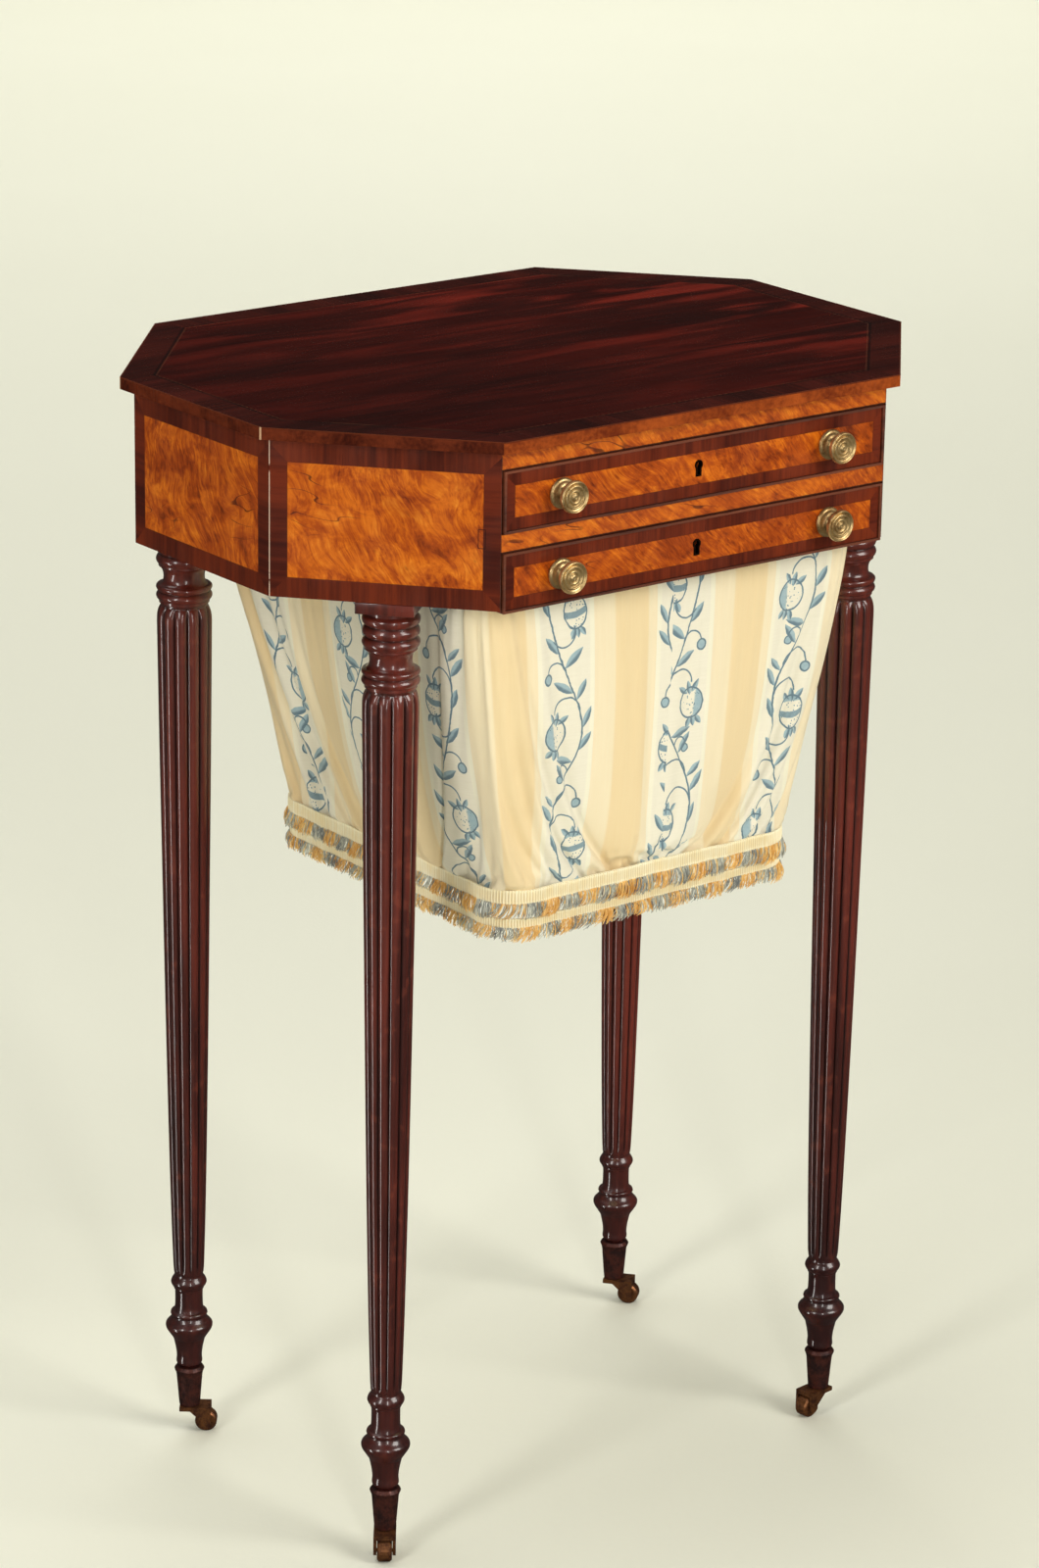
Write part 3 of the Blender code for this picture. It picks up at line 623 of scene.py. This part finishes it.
# Radius and distance out from the drawer's face, from the middle of the knob's face inwards.
KNOB_PROFILE = metres([
    (0.2, 13.5, 1), (1.2, 13.7), (2, 13.2), (2.6, 12.7, 1), (3.4, 13.3), (4.2, 13.3),
    (4.8, 12.6, 1), (5.6, 12.7), (6.2, 13.5), (7, 13.5), (7.6, 12.7, 1), (8.3, 13), (9.2, 13.7),
    (9.8, 13.1), (10, 11.7), (9.7, 10.5), (8.6, 9.5), (6.2, 8.4), (4.4, 7.4), (3.7, 6), (3.9, 4.5),
    (4.8, 3.4), (5.8, 2.8, 1), (6.6, 2.6), (7.8, 2.6), (8.8, 2.2), (9.5, 1.2), (9.4, 0.4, 1),
    (2.2, 0.4, 1), (2, -6, 1), (0.2, -6.2, 1),
])


def knobs(material):
    for row, body in (("upper", "upper_drawer"), ("lower", "bag_drawer")):
        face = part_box(row + "_front")[0][1]
        for side in ("left", "right"):
            low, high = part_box(f"{row}_knob_{side}")
            place = Matrix.Translation((
                (low[0] + high[0]) / 2, face, (low[2] + high[2]) / 2
            )) @ Matrix.Rotation(math.pi / 2, 4, "X")
            shape = bmesh.new()
            lathe(shape, curve_through(KNOB_PROFILE, 3), 64, place)
            add_mesh(
                f"fine_{row}_knob_{side}", shape, material, body, [f"{row}_knob_{side}"]
            )


# ---- the bag

# Height, half width, half depth, middle in Y and corner radius, top to bottom.
BAG_SECTIONS = [
    (0.6417, 0.1465, 0.14, -0.0122, 0.013), (0.62, 0.1503, 0.1415, -0.013, 0.016),
    (0.6, 0.1472, 0.1398, -0.0138, 0.019), (0.55, 0.1381, 0.1349, -0.0157, 0.024),
    (0.5, 0.1285, 0.1295, -0.0176, 0.027), (0.46, 0.1206, 0.1248, -0.0192, 0.025),
    (0.4275, 0.1142, 0.1207, -0.02, 0.022),
]
BAG_EDGE = BAG_SECTIONS[-1][0]
_, WIDE_X, WIDE_Y, _, WIDE_CORNER = BAG_SECTIONS[1]
BAG_ROUND = 4 * (WIDE_X + WIDE_Y) - (8 - 2 * math.pi) * WIDE_CORNER
BAG_EASE = 1.02  # How much longer the cloth is than the drop it hangs in.
STRIPES = 12
GATHER, SETTLE = 14, 26  # The steps at which the rows are gathered and the cloth is still.


def bag_size(z):
    """Half width, half depth, middle and corner radius of the bag at a height."""
    for above, below in zip(BAG_SECTIONS, BAG_SECTIONS[1:]):
        if z >= below[0]:
            t = (above[0] - z) / (above[0] - below[0])
            return [a + (b - a) * t for a, b in zip(above[1:], below[1:])]
    return BAG_SECTIONS[-1][1:]


def bag_point(turn, z):
    """A point on the bag's side, and the way out there. turn goes 0 to 1 round from mid-front."""
    half_x, half_y, middle, corner = bag_size(z)
    quarter, local = divmod((turn % 1.0) * 4, 1.0)
    quarter = int(quarter) % 4
    first, second = half_x - corner, half_y - corner
    if quarter % 2:
        first, second = second, first
    arc = corner * math.pi / 2
    run = local * (first + arc + second)
    if run < first:
        px, py, nx, ny = run, -second - corner, 0.0, -1.0
    elif run < first + arc:
        angle = (run - first) / corner
        nx, ny = math.sin(angle), -math.cos(angle)
        px, py = first + corner * nx, -second + corner * ny
    else:
        px, py, nx, ny = first + corner, run - first - arc - second, 1.0, 0.0
    for _ in range(quarter):
        px, py, nx, ny = -py, px, -ny, nx
    return Vector((px, middle + py, z)), Vector((nx, ny, 0.0))


# How many, then each one's start from top to bottom, width and depth in metres, how sharply it
# deepens, and how far it eases where the tape holds the cloth.
FOLDS = (
    (11, (0.05, 0.35), (0.012, 0.02), (0.003, 0.006), 1.1, 0.55),
    (24, (0.4, 0.7), (0.006, 0.01), (0.0024, 0.0046), 1.4, 0.35),
    (50, (0.76, 0.91), (0.0022, 0.004), (0.0014, 0.003), 1.0, 0.0),
)


def folds(around, down):
    """How far creases sink the cloth from its plain shape, row by row, each between two ridges."""
    random.seed(29)
    turns = np.arange(around)[None, :] / around
    t = np.linspace(0.0, 1.0, down + 1)[:, None]
    off = np.zeros((down + 1, around))
    for count, start, width, depth, power, ease in FOLDS:
        for k in range(count):
            middle = (k + random.uniform(0.1, 0.9)) / count
            begin = random.uniform(*start)
            wide = random.uniform(*width) / BAG_ROUND
            deep = random.uniform(*depth)
            lean = random.uniform(-1.0, 1.0) * 0.012
            grow = np.clip((t - begin) / (1.0 - begin), 0.0, 1.0) ** power
            grow = grow * (1.0 - ease * np.clip((t - 0.88) / 0.12, 0.0, 1.0))
            apart = (turns - middle - lean * (1.0 - t) + 0.5) % 1.0 - 0.5
            x = apart / (wide * (1.5 - 0.5 * grow))
            shape = np.exp(-x * x) - 0.45 * np.exp(-(np.abs(x) - 1.7) ** 2 / 0.8)
            off -= deep * grow * shape
    return off


def plain_rows(around, down, high, low):
    """The bag's plain shape, row by row from the top, and the way out at each point."""
    points = [
        [bag_point(i / around, high + (low - high) * j / down) for i in range(around)]
        for j in range(down + 1)
    ]
    return tuple(np.array([[tuple(p[k]) for p in row] for row in points]) for k in (0, 1))


def drape(around, down, high, low):
    """The cloth's rows once it hangs. It is cut wider than the tape that it is gathered to."""
    plain, outs = plain_rows(around, down, high, low)
    gathers = outs * folds(around, down)[:, :, None]
    tube, _ = plain_rows(around, 1, BAG_SECTIONS[1][0], BAG_SECTIONS[1][0])
    t = np.linspace(0.0, 1.0, down + 1)[:, None, None]
    cut = plain + (tube[:1] - plain) * (0.2 + 0.5 * t * t) + gathers * 0.35
    cut[:, :, 2] = high - (high - low) * BAG_EASE * t[:, :, 0]
    index = np.arange((down + 1) * around).reshape(down + 1, around)
    right = np.roll(index, -1, axis=1)
    faces = np.stack([index[:-1], index[1:], right[1:], right[:-1]], axis=-1).reshape(-1, 4)
    mesh = bpy.data.meshes.new("hanging")
    mesh.from_pydata(cut.reshape(-1, 3).tolist(), [], faces.tolist())
    obj = stand("hanging", mesh)
    obj.shape_key_add(name="Basis")
    gathered = obj.shape_key_add(name="gathered")
    gathered.data.foreach_set("co", (plain + gathers).reshape(-1))
    for step, value in ((1, 0.0), (GATHER, 1.0)):
        gathered.value = value
        gathered.keyframe_insert("value", frame=step)
    held = obj.vertex_groups.new(name="held")
    for row in (0, down):
        held.add([int(k) for k in index[row]], 1.0, "REPLACE")
    cloth = obj.modifiers.new("cloth", "CLOTH")
    for setting, value in (
        ("quality", 6), ("mass", 0.15), ("tension_stiffness", 30), ("compression_stiffness", 30),
        ("shear_stiffness", 3), ("bending_stiffness", 0.3), ("air_damping", 2),
        ("vertex_group_mass", "held"),
    ):
        setattr(cloth.settings, setting, value)
    cloth.collision_settings.use_collision = False
    cloth.point_cache.frame_end = SETTLE
    for step in range(1, SETTLE + 1):
        bpy.context.scene.frame_set(step)
    done = obj.evaluated_get(bpy.context.evaluated_depsgraph_get()).data
    flat = np.zeros(len(done.vertices) * 3)
    done.vertices.foreach_get("co", flat)
    bpy.context.scene.frame_set(1)
    bpy.data.objects.remove(obj, do_unlink=True)
    # The folds stay, and each row keeps the plain shape's girth.
    rows = flat.reshape(plain.shape)
    return rows - outs * ((rows - plain) * outs).sum(axis=2).mean(axis=1)[:, None, None]


def finer(rows, axis):
    """Twice as many points along an axis, on smooth curves through the old ones."""
    rows = np.moveaxis(rows, axis, 0)
    if axis:
        padded = np.concatenate([rows[-1:], rows, rows[:2]])
    else:
        padded = np.concatenate([rows[:1], rows, rows[-1:]])
    between = (9 * (padded[1:-2] + padded[2:-1]) - padded[:-3] - padded[3:]) / 16
    made = np.empty((len(rows) + len(between), *rows.shape[1:]))
    made[0::2] = rows
    made[1::2] = between
    return np.moveaxis(made, 0, axis)


# Where on the flat cloth the hidden bottom takes its colour from.
BARE = (-1.0, 0.0)


def bag_cloth():
    """The draped sheet with its bottom, and a UV layer in metres of flat cloth."""
    high = BAG_SECTIONS[0][0] - 0.0004
    low = BAG_EDGE + 0.0006
    around, down = 840, 104
    hung = finer(finer(drape(around // 2, down // 2, high, low), 0), 1)
    plain, outs = plain_rows(around, down, high, low)
    t = np.linspace(0.0, 1.0, down + 1)[:, None]
    off = ((hung - plain) * outs).sum(axis=2)
    along = hung - plain - outs * off[:, :, None]
    # The stiff board inside limits how far a fold sinks, and the tape holds the last rows flat.
    least = -0.0019 - 0.007 * np.clip((1.0 - t) / 0.08, 0.0, 1.0)
    most = 0.0016 + 0.007 * np.clip((0.95 - t) / 0.07, 0.0, 1.0)
    off = np.clip(off + 0.005 * np.sin(math.pi * t), least, most) - 0.001
    hold = np.clip(t * 14, 0.0, 1.0) * np.clip((1.0 - t) * 14, 0.0, 1.0)
    places = plain + outs * off[:, :, None] + along * hold[:, :, None]
    shape = bmesh.new()
    uv = shape.loops.layers.uv.new("cloth")
    rows = [[shape.verts.new(place) for place in row] for row in places.tolist()]
    tall = (high - low) * BAG_EASE
    for number, face in enumerate(skin(shape, rows)):
        j, i = divmod(number, around)
        for loop, (a, b) in zip(face.loops, ((i, j), (i, j + 1), (i + 1, j + 1), (i + 1, j))):
            loop[uv].uv = (a / around * BAG_ROUND, b / down * tall)
    # The cloth turns in under the bag and meets the middle of the bottom.
    centre = Vector((0.0, BAG_SECTIONS[-1][3], low))
    rings, steps = [rows[-1]], 8
    for k in range(1, steps + 1):
        t = k / steps
        ring = []
        for vert in rows[-1]:
            point = vert.co.lerp(centre, 0.97 * t ** 0.9)
            point.z = low - 0.0004 * math.sin(math.pi * t)
            ring.append(shape.verts.new(point))
        rings.append(ring)
    for face in skin(shape, rings):
        for loop in face.loops:
            loop[uv].uv = BARE
    shape.faces.new(list(reversed(rings[-1])))
    return shape


def vine(paint, mx, my, repeat, wash):
    """A climbing stem with twigs, leaves, buds and two fruits in each repeat, in its own units.

    Returns how strongly the blue shows: 1 on an outline, about a half inside a leaf.
    """
    def heading(tilt):
        return math.cos(math.radians(tilt)), math.sin(math.radians(tilt))

    def turned(cx, cy, tilt):
        dx, dy = mx - cx, my - cy
        c, s = heading(tilt)
        return dx * c + dy * s, dy * c - dx * s

    def leaf(cx, cy, long, wide, tilt):
        a, b = turned(cx, cy, tilt)
        body = abs(b / wide) + a * a / long ** 2
        shade = paint.step(b, -wide * 0.4, wide * 0.4, 0.5, 0.9)
        return paint.step(body, 1.0, 0.85) * shade

    def twig(cx, cy, radius, side=(0, -1)):
        """Half of a ring, on the side that side points to."""
        dx, dy = mx - cx, my - cy
        ring = abs(paint.math("SQRT", dx * dx + dy * dy) - radius)
        return paint.step(ring, 0.58, 0.26) * paint.step(dx * side[0] + dy * side[1], -0.5, 0.5)

    def bud(cx, cy, radius):
        a, b = turned(cx, cy, 0)
        body = (a * a + b * b) / radius ** 2
        fill = paint.step(body, 0.8, 0.4) * 0.45
        return paint.either(paint.step(abs(body - 0.85), 0.42, 0.2), fill)

    def fruit(cx, cy, wide, tall, tilt, belt):
        a, b = turned(cx, cy, tilt)
        body = a * a / wide ** 2 + b * b / tall ** 2
        outline = paint.step(abs(body - 0.92), 0.15, 0.07)
        if belt is None:
            bands = paint.step(a + b * 0.3, 1.0, 4.0, 0.0, 0.5)
        else:
            bands = paint.step(abs(b - belt + a * a * 0.03), 1.9, 1.5) * 0.75
            bands = paint.either(bands, paint.step(b, -tall * 0.55, -tall * 0.7) * 0.6)
        dots = paint.step(paint.cells(paint.join(mx, my), 0.62), 0.3, 0.18) * 0.85
        marks = paint.either(outline, paint.step(body, 0.95, 0.85) * paint.either(bands, dots))
        c, s = heading(tilt)
        for k in (-1, 0, 1):
            foot = (3.2 * k, tall + 1.8)
            crown = (4.2 * k, -tall + 0.2)
            for (px, py), long in ((foot, 3.2), (crown, 4.2)):
                marks = paint.either(marks, leaf(
                    cx + px * c - py * s, cy + px * s + py * c, long, 1.7,
                    90 + tilt + (-26 if py > 0 else 44) * k,
                ))
        return marks

    def stem(at):
        turn = 2 * math.pi * at / repeat
        return 10.5 * math.sin(turn) + 1.5 * math.sin(2 * turn + 0.6)

    along = my * (2 * math.pi / repeat)
    stem_x = paint.math("SINE", along) * 10.5 + paint.math("SINE", along * 2.0 + 0.6) * 1.5
    forms = [twig(*item) for item in (
        (1.5, 25.0, 8.2), (-1.5, 90.0, 8.2), (-2.7, 9.5, 8.8), (5.5, 68.0, 5.8),
        (0.6, 123.0, 4.2), (0.5, 47.0, 7.4, (-0.5, 1)),
    )]
    # Leaves grow from the stem: the place along it, the side, the angle, and the half sizes.
    for at, side, angle, long, wide in (
        (12, 1, 45, 6.0, 1.9), (20, 1, 55, 7.0, 2.3), (38, 1, 70, 6.5, 2.1), (58, 1, 50, 7.0, 2.3),
        (66, -1, 40, 8.0, 2.6), (80, 1, 30, 7.5, 2.4), (84, -1, 60, 6.5, 2.1),
        (100, -1, 65, 6.5, 2.0), (112, -1, 50, 6.5, 2.1), (118, 1, 15, 7.5, 2.4),
        (128, 1, 55, 7.0, 2.2),
    ):
        run, rise = heading(angle)
        cx, cy = stem(at) + side * run * long, at - rise * long
        forms.append(leaf(cx, cy, long, wide, -side * angle))
    forms += [bud(*item) for item in ((-11.5, 12.0, 2.8), (11.6, 70.2, 3.0), (4.8, 125.4, 2.3))]
    forms.append(fruit(-7.0, 36.5, 7.4, 9.4, 8, 1.5))
    forms.append(fruit(6.8, 101.0, 7.9, 8.6, -12, None))
    marks = paint.step(abs(mx - stem_x), 0.7, 0.35)
    for form in forms:
        marks = paint.either(marks, form)
    return paint.both(marks * (0.8 + wash * 0.4), 1.0)


def striped_silk():
    """Satin stripes in yellow and off-white. A blue vine with fruit climbs each pale one."""
    paint = Paint("striped_silk")
    u, v = paint.cloth_uv()
    pitch, pale = BAG_ROUND / STRIPES, 0.0455
    start = (pale / 2 - 0.01) / pitch
    across = u / pitch + start
    number = paint.math("FLOOR", across)
    shake = paint.cloud((u * 260, v * 260), 2) - 0.5
    # In millimetres, from the middle of the pale stripe.
    x = ((across - number) * pitch - pale / 2) * 1000.0
    odd = paint.wrap(number, 2.0)
    size, repeat = 1.2, 130.0
    climb = v * (1000.0 / size) + number * 47.0 + 18.0
    my = paint.wrap(climb, repeat)
    wash = paint.cloud((u * 420, v * 420), 3)
    mx = x * ((1.0 - odd * 2.0) / size) + shake * 1.0
    drawn = vine(paint, mx, my + shake * 0.8, repeat, wash)
    drawn = drawn * paint.step(abs(x), 21.6, 20.8)

    thread = paint.math("SINE", u * (2 * math.pi / 0.00055))
    weft = paint.math("SINE", v * (2 * math.pi / 0.00045))
    slub = paint.cloud((u * 60, v * 900), 3)
    moire = paint.cloud((u * 700, v * 30), 3)
    white = paint.mix(slub, rgb(239, 232, 211), rgb(248, 242, 223))
    selvage = paint.step(abs(x), 18.8, 20.0)
    white = paint.mix(selvage * 0.55, white, rgb(253, 248, 222))
    ink = paint.mix(wash, rgb(82, 104, 120), rgb(116, 144, 158))
    water = paint.mix(wash, rgb(142, 174, 188), rgb(182, 202, 206))
    white = paint.mix(paint.step(drawn, 0.05, 0.45), white, water)
    white = paint.mix(paint.step(drawn, 0.55, 0.95), white, ink)
    yellow = paint.mix(moire, rgb(244, 217, 167), rgb(247, 224, 178))
    cream = paint.mix(moire, rgb(249, 230, 191), rgb(251, 237, 204))
    middle = (pitch * 1000.0) / 2
    deep = paint.step(abs(x - middle - 5.0), 14.0, 12.0)
    gold = paint.mix(deep, cream, yellow)
    is_pale = paint.step(abs(x), pale * 500.0 + 0.2, pale * 500.0 - 0.2)
    colour = paint.mix(is_pale, gold, white)
    dirt = paint.noise(paint.place(), 14, 4)
    colour = paint.mix(paint.step(dirt, 0.55, 0.85) * 0.16, colour, rgb(188, 150, 92))
    weave = thread * weft * 0.5 + slub * 0.8
    return paint.finish(
        colour, 0.5 + is_pale * 0.16, bump=weave, bump_depth=0.00012, sheen=0.2, specular=0.35
    )


def thread_paint(name, bright, dull, rib_shade=None):
    """Spun thread. The optional last colour is painted shade in the hollows between a tape's ribs.
    """
    paint = Paint(name)
    x, y, z = paint.split(paint.place())
    strand = paint.cloud((x * 900, y * 900, z * 60), 3)
    cloud = paint.noise(paint.place(), 70, 3)
    colour = paint.mix(paint.step(strand * 0.6 + cloud * 0.4, 0.35, 0.65), dull, bright)
    if rib_shade:
        # Painted shade in the hollows between the ribs.
        colour = paint.mix(paint.layer("hollow") * 0.55, colour, rib_shade)
    return paint.finish(colour, 0.75, bump=strand, bump_depth=0.0003, sheen=0.3, specular=0.2)


def tape(name, top, bottom, stand, thick, material, node):
    """A woven header: a band of upright ribs between two corded edges."""
    ribs, levels = 520, 10
    around = ribs * 4
    shape = bmesh.new()
    hollow = shape.verts.layers.float.new("hollow")

    def edge(turn):
        """A point under the bag's edge with the band's slight sag, and the way out there."""
        point, out = bag_point(turn, BAG_EDGE)
        point.z = 0.0006 * noise.noise(Vector((point.x * 60, point.y * 60, 7)))
        return point, out

    rows = []
    for j in range(levels + 1):
        t = j / levels
        cord = math.exp(-((t - 0.09) / 0.08) ** 2) + math.exp(-((t - 0.91) / 0.08) ** 2)
        row = []
        for i in range(around):
            turn = i / around
            rib = 0.5 + 0.5 * math.cos(2 * math.pi * ribs * turn)
            point, out = edge(turn)
            wave = 0.0007 * noise.noise(Vector((point.x * 90, point.y * 90, 3)))
            off = thick * (0.25 + 0.75 * rib * (1 - cord) + 0.65 * cord * (0.5 + 0.5 * rib))
            place = point + out * (stand + off + wave)
            place.z += top + (bottom - top) * t
            vert = shape.verts.new(place)
            vert[hollow] = (1.0 - rib) * (1.0 - 0.6 * min(1.0, cord))
            row.append(vert)
        rows.append(row)
    for z in (bottom, top):
        row = []
        for i in range(around):
            point, out = edge(i / around)
            row.append(shape.verts.new(point + out * (stand - 0.0002) + Vector((0, 0, z))))
        rows.append(row)
    skin(shape, rows + rows[:1])
    return add_mesh(name, shape, material, "bag_drawer", [node], 60)


def tassels(name, top, length, stand, seed, materials, fray):
    """Cut threads in tufts of two colours in turn, bound at the head, spreading as they hang."""
    random.seed(seed)
    shape = bmesh.new()
    tufts, strands, steps = 62, 46, 5
    for tuft in range(tufts):
        centre = (tuft + 0.5) / tufts
        lean = random.uniform(-0.58, 0.02)
        long = length * random.uniform(0.86, 1.04)
        for k in range(strands):
            place = (k + random.uniform(0.1, 0.9)) / strands - 0.5
            root = centre + place * 0.96 / tufts
            spread = (place * 0.0046 + random.uniform(-0.0024, 0.0024)) * fray + lean * long
            bulge = 0.0034 * math.cos(math.pi * place) * random.uniform(0.2, 1.0)
            depth = random.uniform(0.0, 0.0012)
            radius = random.uniform(0.00026, 0.00042)
            rounded = 1.0 - 0.5 * place * place
            reach = long * rounded * random.uniform(1.0 - 0.2 * fray, 1.02)
            curl = random.uniform(-0.0014, 0.0014) * fray
            point, out = bag_point(root, BAG_EDGE)
            side = Vector((-out.y, out.x, 0.0))
            start = Vector((point.x, point.y, top)) + out * (stand + depth)
            rings = []
            for s in range(steps):
                t = s / (steps - 1)
                c = start + side * (spread * t * t + curl * math.sin(t * math.pi)) \
                    + out * (bulge * math.sin(t * 2.3)) - Vector((0, 0, reach * t))
                width = radius * (1.0 if s < steps - 1 else 0.6)
                rings.append([
                    shape.verts.new(c + (out * math.cos(a) + side * math.sin(a)) * width)
                    for a in (0.0, 2.1, 4.2)
                ])
            made = [shape.faces.new(rings[0]), shape.faces.new(rings[-1]), *skin(shape, rings)]
            stray = random.random() < 0.13 + max(0.0, abs(place) - 0.28) * 1.7
            for face in made:
                face.material_index = (tuft + stray) % 2
    obj = add_mesh(name, shape, materials[0], "bag_drawer", (), 80)
    obj.data.materials.append(materials[1])
    return obj


def bag():
    cloth = add_mesh("bag_cloth", bag_cloth(), striped_silk(), "bag_drawer", ["bag"], 180)
    thick = cloth.modifiers.new("thickness", "SOLIDIFY")
    thick.thickness = 0.0008
    thick.offset = -1.0
    cream = thread_paint(
        "tape_thread", rgb(255, 250, 224), rgb(250, 236, 194), rgb(192, 160, 108)
    )
    gold = thread_paint("gold_thread", rgb(255, 220, 146), rgb(220, 162, 80))
    grey = thread_paint("grey_thread", rgb(216, 216, 200), rgb(126, 130, 132))
    upper = tape("upper_tape", 0.4384, 0.4292, 0.0022, 0.0014, cream, "fringe_upper")
    lower = tape("lower_tape", 0.4196, 0.4134, 0.001, 0.0014, cream, "fringe_lower")
    one = tassels("upper_tassels", 0.4298, 0.0112, 0.0026, 11, (gold, grey), 0.8)
    two = tassels("lower_tassels", 0.414, 0.0102, 0.0014, 23, (grey, gold), 1.4)


# ---- finishes on the CAD pieces

def give(material, *names):
    for name in names:
        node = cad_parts[name]
        if not node.material_slots:
            node.data.materials.append(material)
        for slot in node.material_slots:
            slot.material = material


def soften(width, *names):
    """Rounds the arrises a little, so that they catch the light."""
    for name in names:
        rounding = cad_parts[name].modifiers.new("arris", "BEVEL")
        rounding.width = width
        rounding.segments = 2
        rounding.limit_method = "ANGLE"
        rounding.angle_limit = math.radians(50)
        rounding.harden_normals = False


# The width of the dark banding at the ends, below and above.
PANEL_BORDER = (0.011, 0.012, 0.0142)
CORNER_BORDER = (0.011, 0.0125, 0.0142)
FRONT_BORDER = (0.0066, 0.0072, 0.0076)


def case_finishes():
    """Veneers for the panels, the drawer fronts and the two rails."""
    z_low, z_high = (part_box("side_left")[i][2] for i in (0, 1))
    for name, seed in (("side_left", 1.7), ("side_right", 5.1)):
        give(veneered(
            name + "_veneer", lambda x, y: y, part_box(name)[1][1], z_low, z_high, PANEL_BORDER,
            lean=-0.7, seed=seed, dim=0.9,
        ), name)
    give(veneered(
        "back_veneer", lambda x, y: x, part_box("back_panel")[1][0], z_low, z_high, PANEL_BORDER,
        lean=0.6, seed=9.4,
    ), "back_panel")
    for name, seed in zip(CANTS, (3.3, 12.6, 21.0, 31.0)):
        a, b = cant(name)
        run = (b - a).normalized()
        shift = ((a + b) / 2).dot(run)
        half = (b - a).length / 2 - 0.0034
        side_first = abs(a.x) > abs(b.x)
        end = half - CORNER_BORDER[0]
        give(veneered(
            f"corner_{name}_veneer",
            lambda x, y, run=run, shift=shift: x * run.x + y * run.y - shift,
            half, z_low, z_high, CORNER_BORDER,
            arris_glint_and_wear=(0.95, 0.35) if side_first else (0.35, 0.95),
            patch=(end - 0.003, end + 0.0012, 0.67, 0.6815) if name == "front_left" else None,
            lean=0.9, seed=seed, dim=0.35,
        ), "corner_" + name)
    for row, seed in (("upper", 41.0), ("lower", 57.0)):
        low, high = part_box(row + "_front")
        give(veneered(
            row + "_front_veneer", lambda x, y: x, high[0], low[2], high[2],
            FRONT_BORDER, back=low[1] + 0.01, lean=1.9, seed=seed, swirl=0.45,
            fine=0.9, dim=1.3,
        ), row + "_front")
    for name, seed in (("rail_top", 71.0), ("rail_middle", 83.0)):
        paint = Paint(name + "_veneer")
        x, y, z = paint.split(paint.place())
        colour, grain = figured(paint, x, z, lean=2.2, seed=seed, swirl=0.45, fine=0.9, dim=0.6)
        worn = paint.noise(paint.place(), 50, 4)
        # Painted shadow: a near-black line along the rail's lower edge, over the gap to the drawer
        # below.
        gap_shadow = paint.step(z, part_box(name)[0][2] + 0.0011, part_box(name)[0][2] + 0.0005)
        colour = paint.mix(gap_shadow * 0.9, colour, rgb(26, 11, 8))
        give(paint.finish(
            colour, 0.3 + worn * 0.16, bump=grain, bump_depth=0.0001, coat=0.15,
            coat_rough=0.14, specular=0.3,
        ), name)


def finishes():
    give(board_wood(), "top_board")
    case_finishes()
    bead = plain_wood("bead_wood", rgb(122, 62, 38), rgb(58, 26, 18), 0, 0.35, 0.2)
    give(bead, "upper_bead", "lower_bead")
    inner = plain_wood("pine", rgb(196, 152, 98), rgb(158, 112, 66), 1, 0.6)
    side = plain_wood("pine_cross", rgb(196, 152, 98), rgb(158, 112, 66), 0, 0.6)
    for kind in ("upper_side", "bag_frame", "runner_upper", "runner_lower"):
        give(inner, kind + "_left", kind + "_right")
    give(inner, "upper_bottom")
    give(side, "upper_back", "bag_frame_front", "bag_frame_back")
    card = Paint("card")
    fibre = card.noise(card.place(), 500, 4)
    give(card.finish(
        card.mix(fibre, rgb(176, 158, 120), rgb(198, 182, 146)), 0.85, bump=fibre,
        bump_depth=0.0002,
    ), "bag_board")
    iron = metal("lock_iron", rgb(92, 86, 80), rgb(58, 48, 42), 0.35, 0.3)
    give(iron, "upper_lock", "lower_lock", "upper_bolt", "lower_bolt")
    liner = metal("liner_brass", rgb(46, 32, 22), rgb(18, 12, 10), 0.5, 0.3)
    give(liner, "upper_keyhole_liner", "lower_keyhole_liner")
    cup = metal("cup_brass", rgb(84, 42, 34), rgb(44, 19, 17), 0.32, 0.3, 0.6, 0.45)
    caster = metal("caster_brass", rgb(134, 86, 50), rgb(70, 38, 24), 0.32, 0.3, 0.6, 0.7)
    for name in CANTS:
        give(cup, "caster_cup_" + name)
        give(caster, *(f"caster_{part}_{name}" for part in ("fork", "axle", "wheel")))
        soften(0.0003, f"caster_fork_{name}")
        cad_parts["caster_fork_" + name].modifiers.new("even", "WEIGHTED_NORMAL")
    soften(0.0007, "top_board")
    soften(
        0.0004, "side_left", "side_right", "back_panel", "upper_front", "lower_front",
        "rail_top", "rail_middle", "upper_bead", "lower_bead",
        *("corner_" + name for name in CANTS),
    )


camera()
studio()
finishes()
mahogany = leg_wood()
for corner in CANTS:
    leg(corner, mahogany)
knobs(metal("knob_brass", rgb(212, 182, 128), rgb(146, 112, 66), 0.33, 0.14, 0.35, 0.85))
bag()
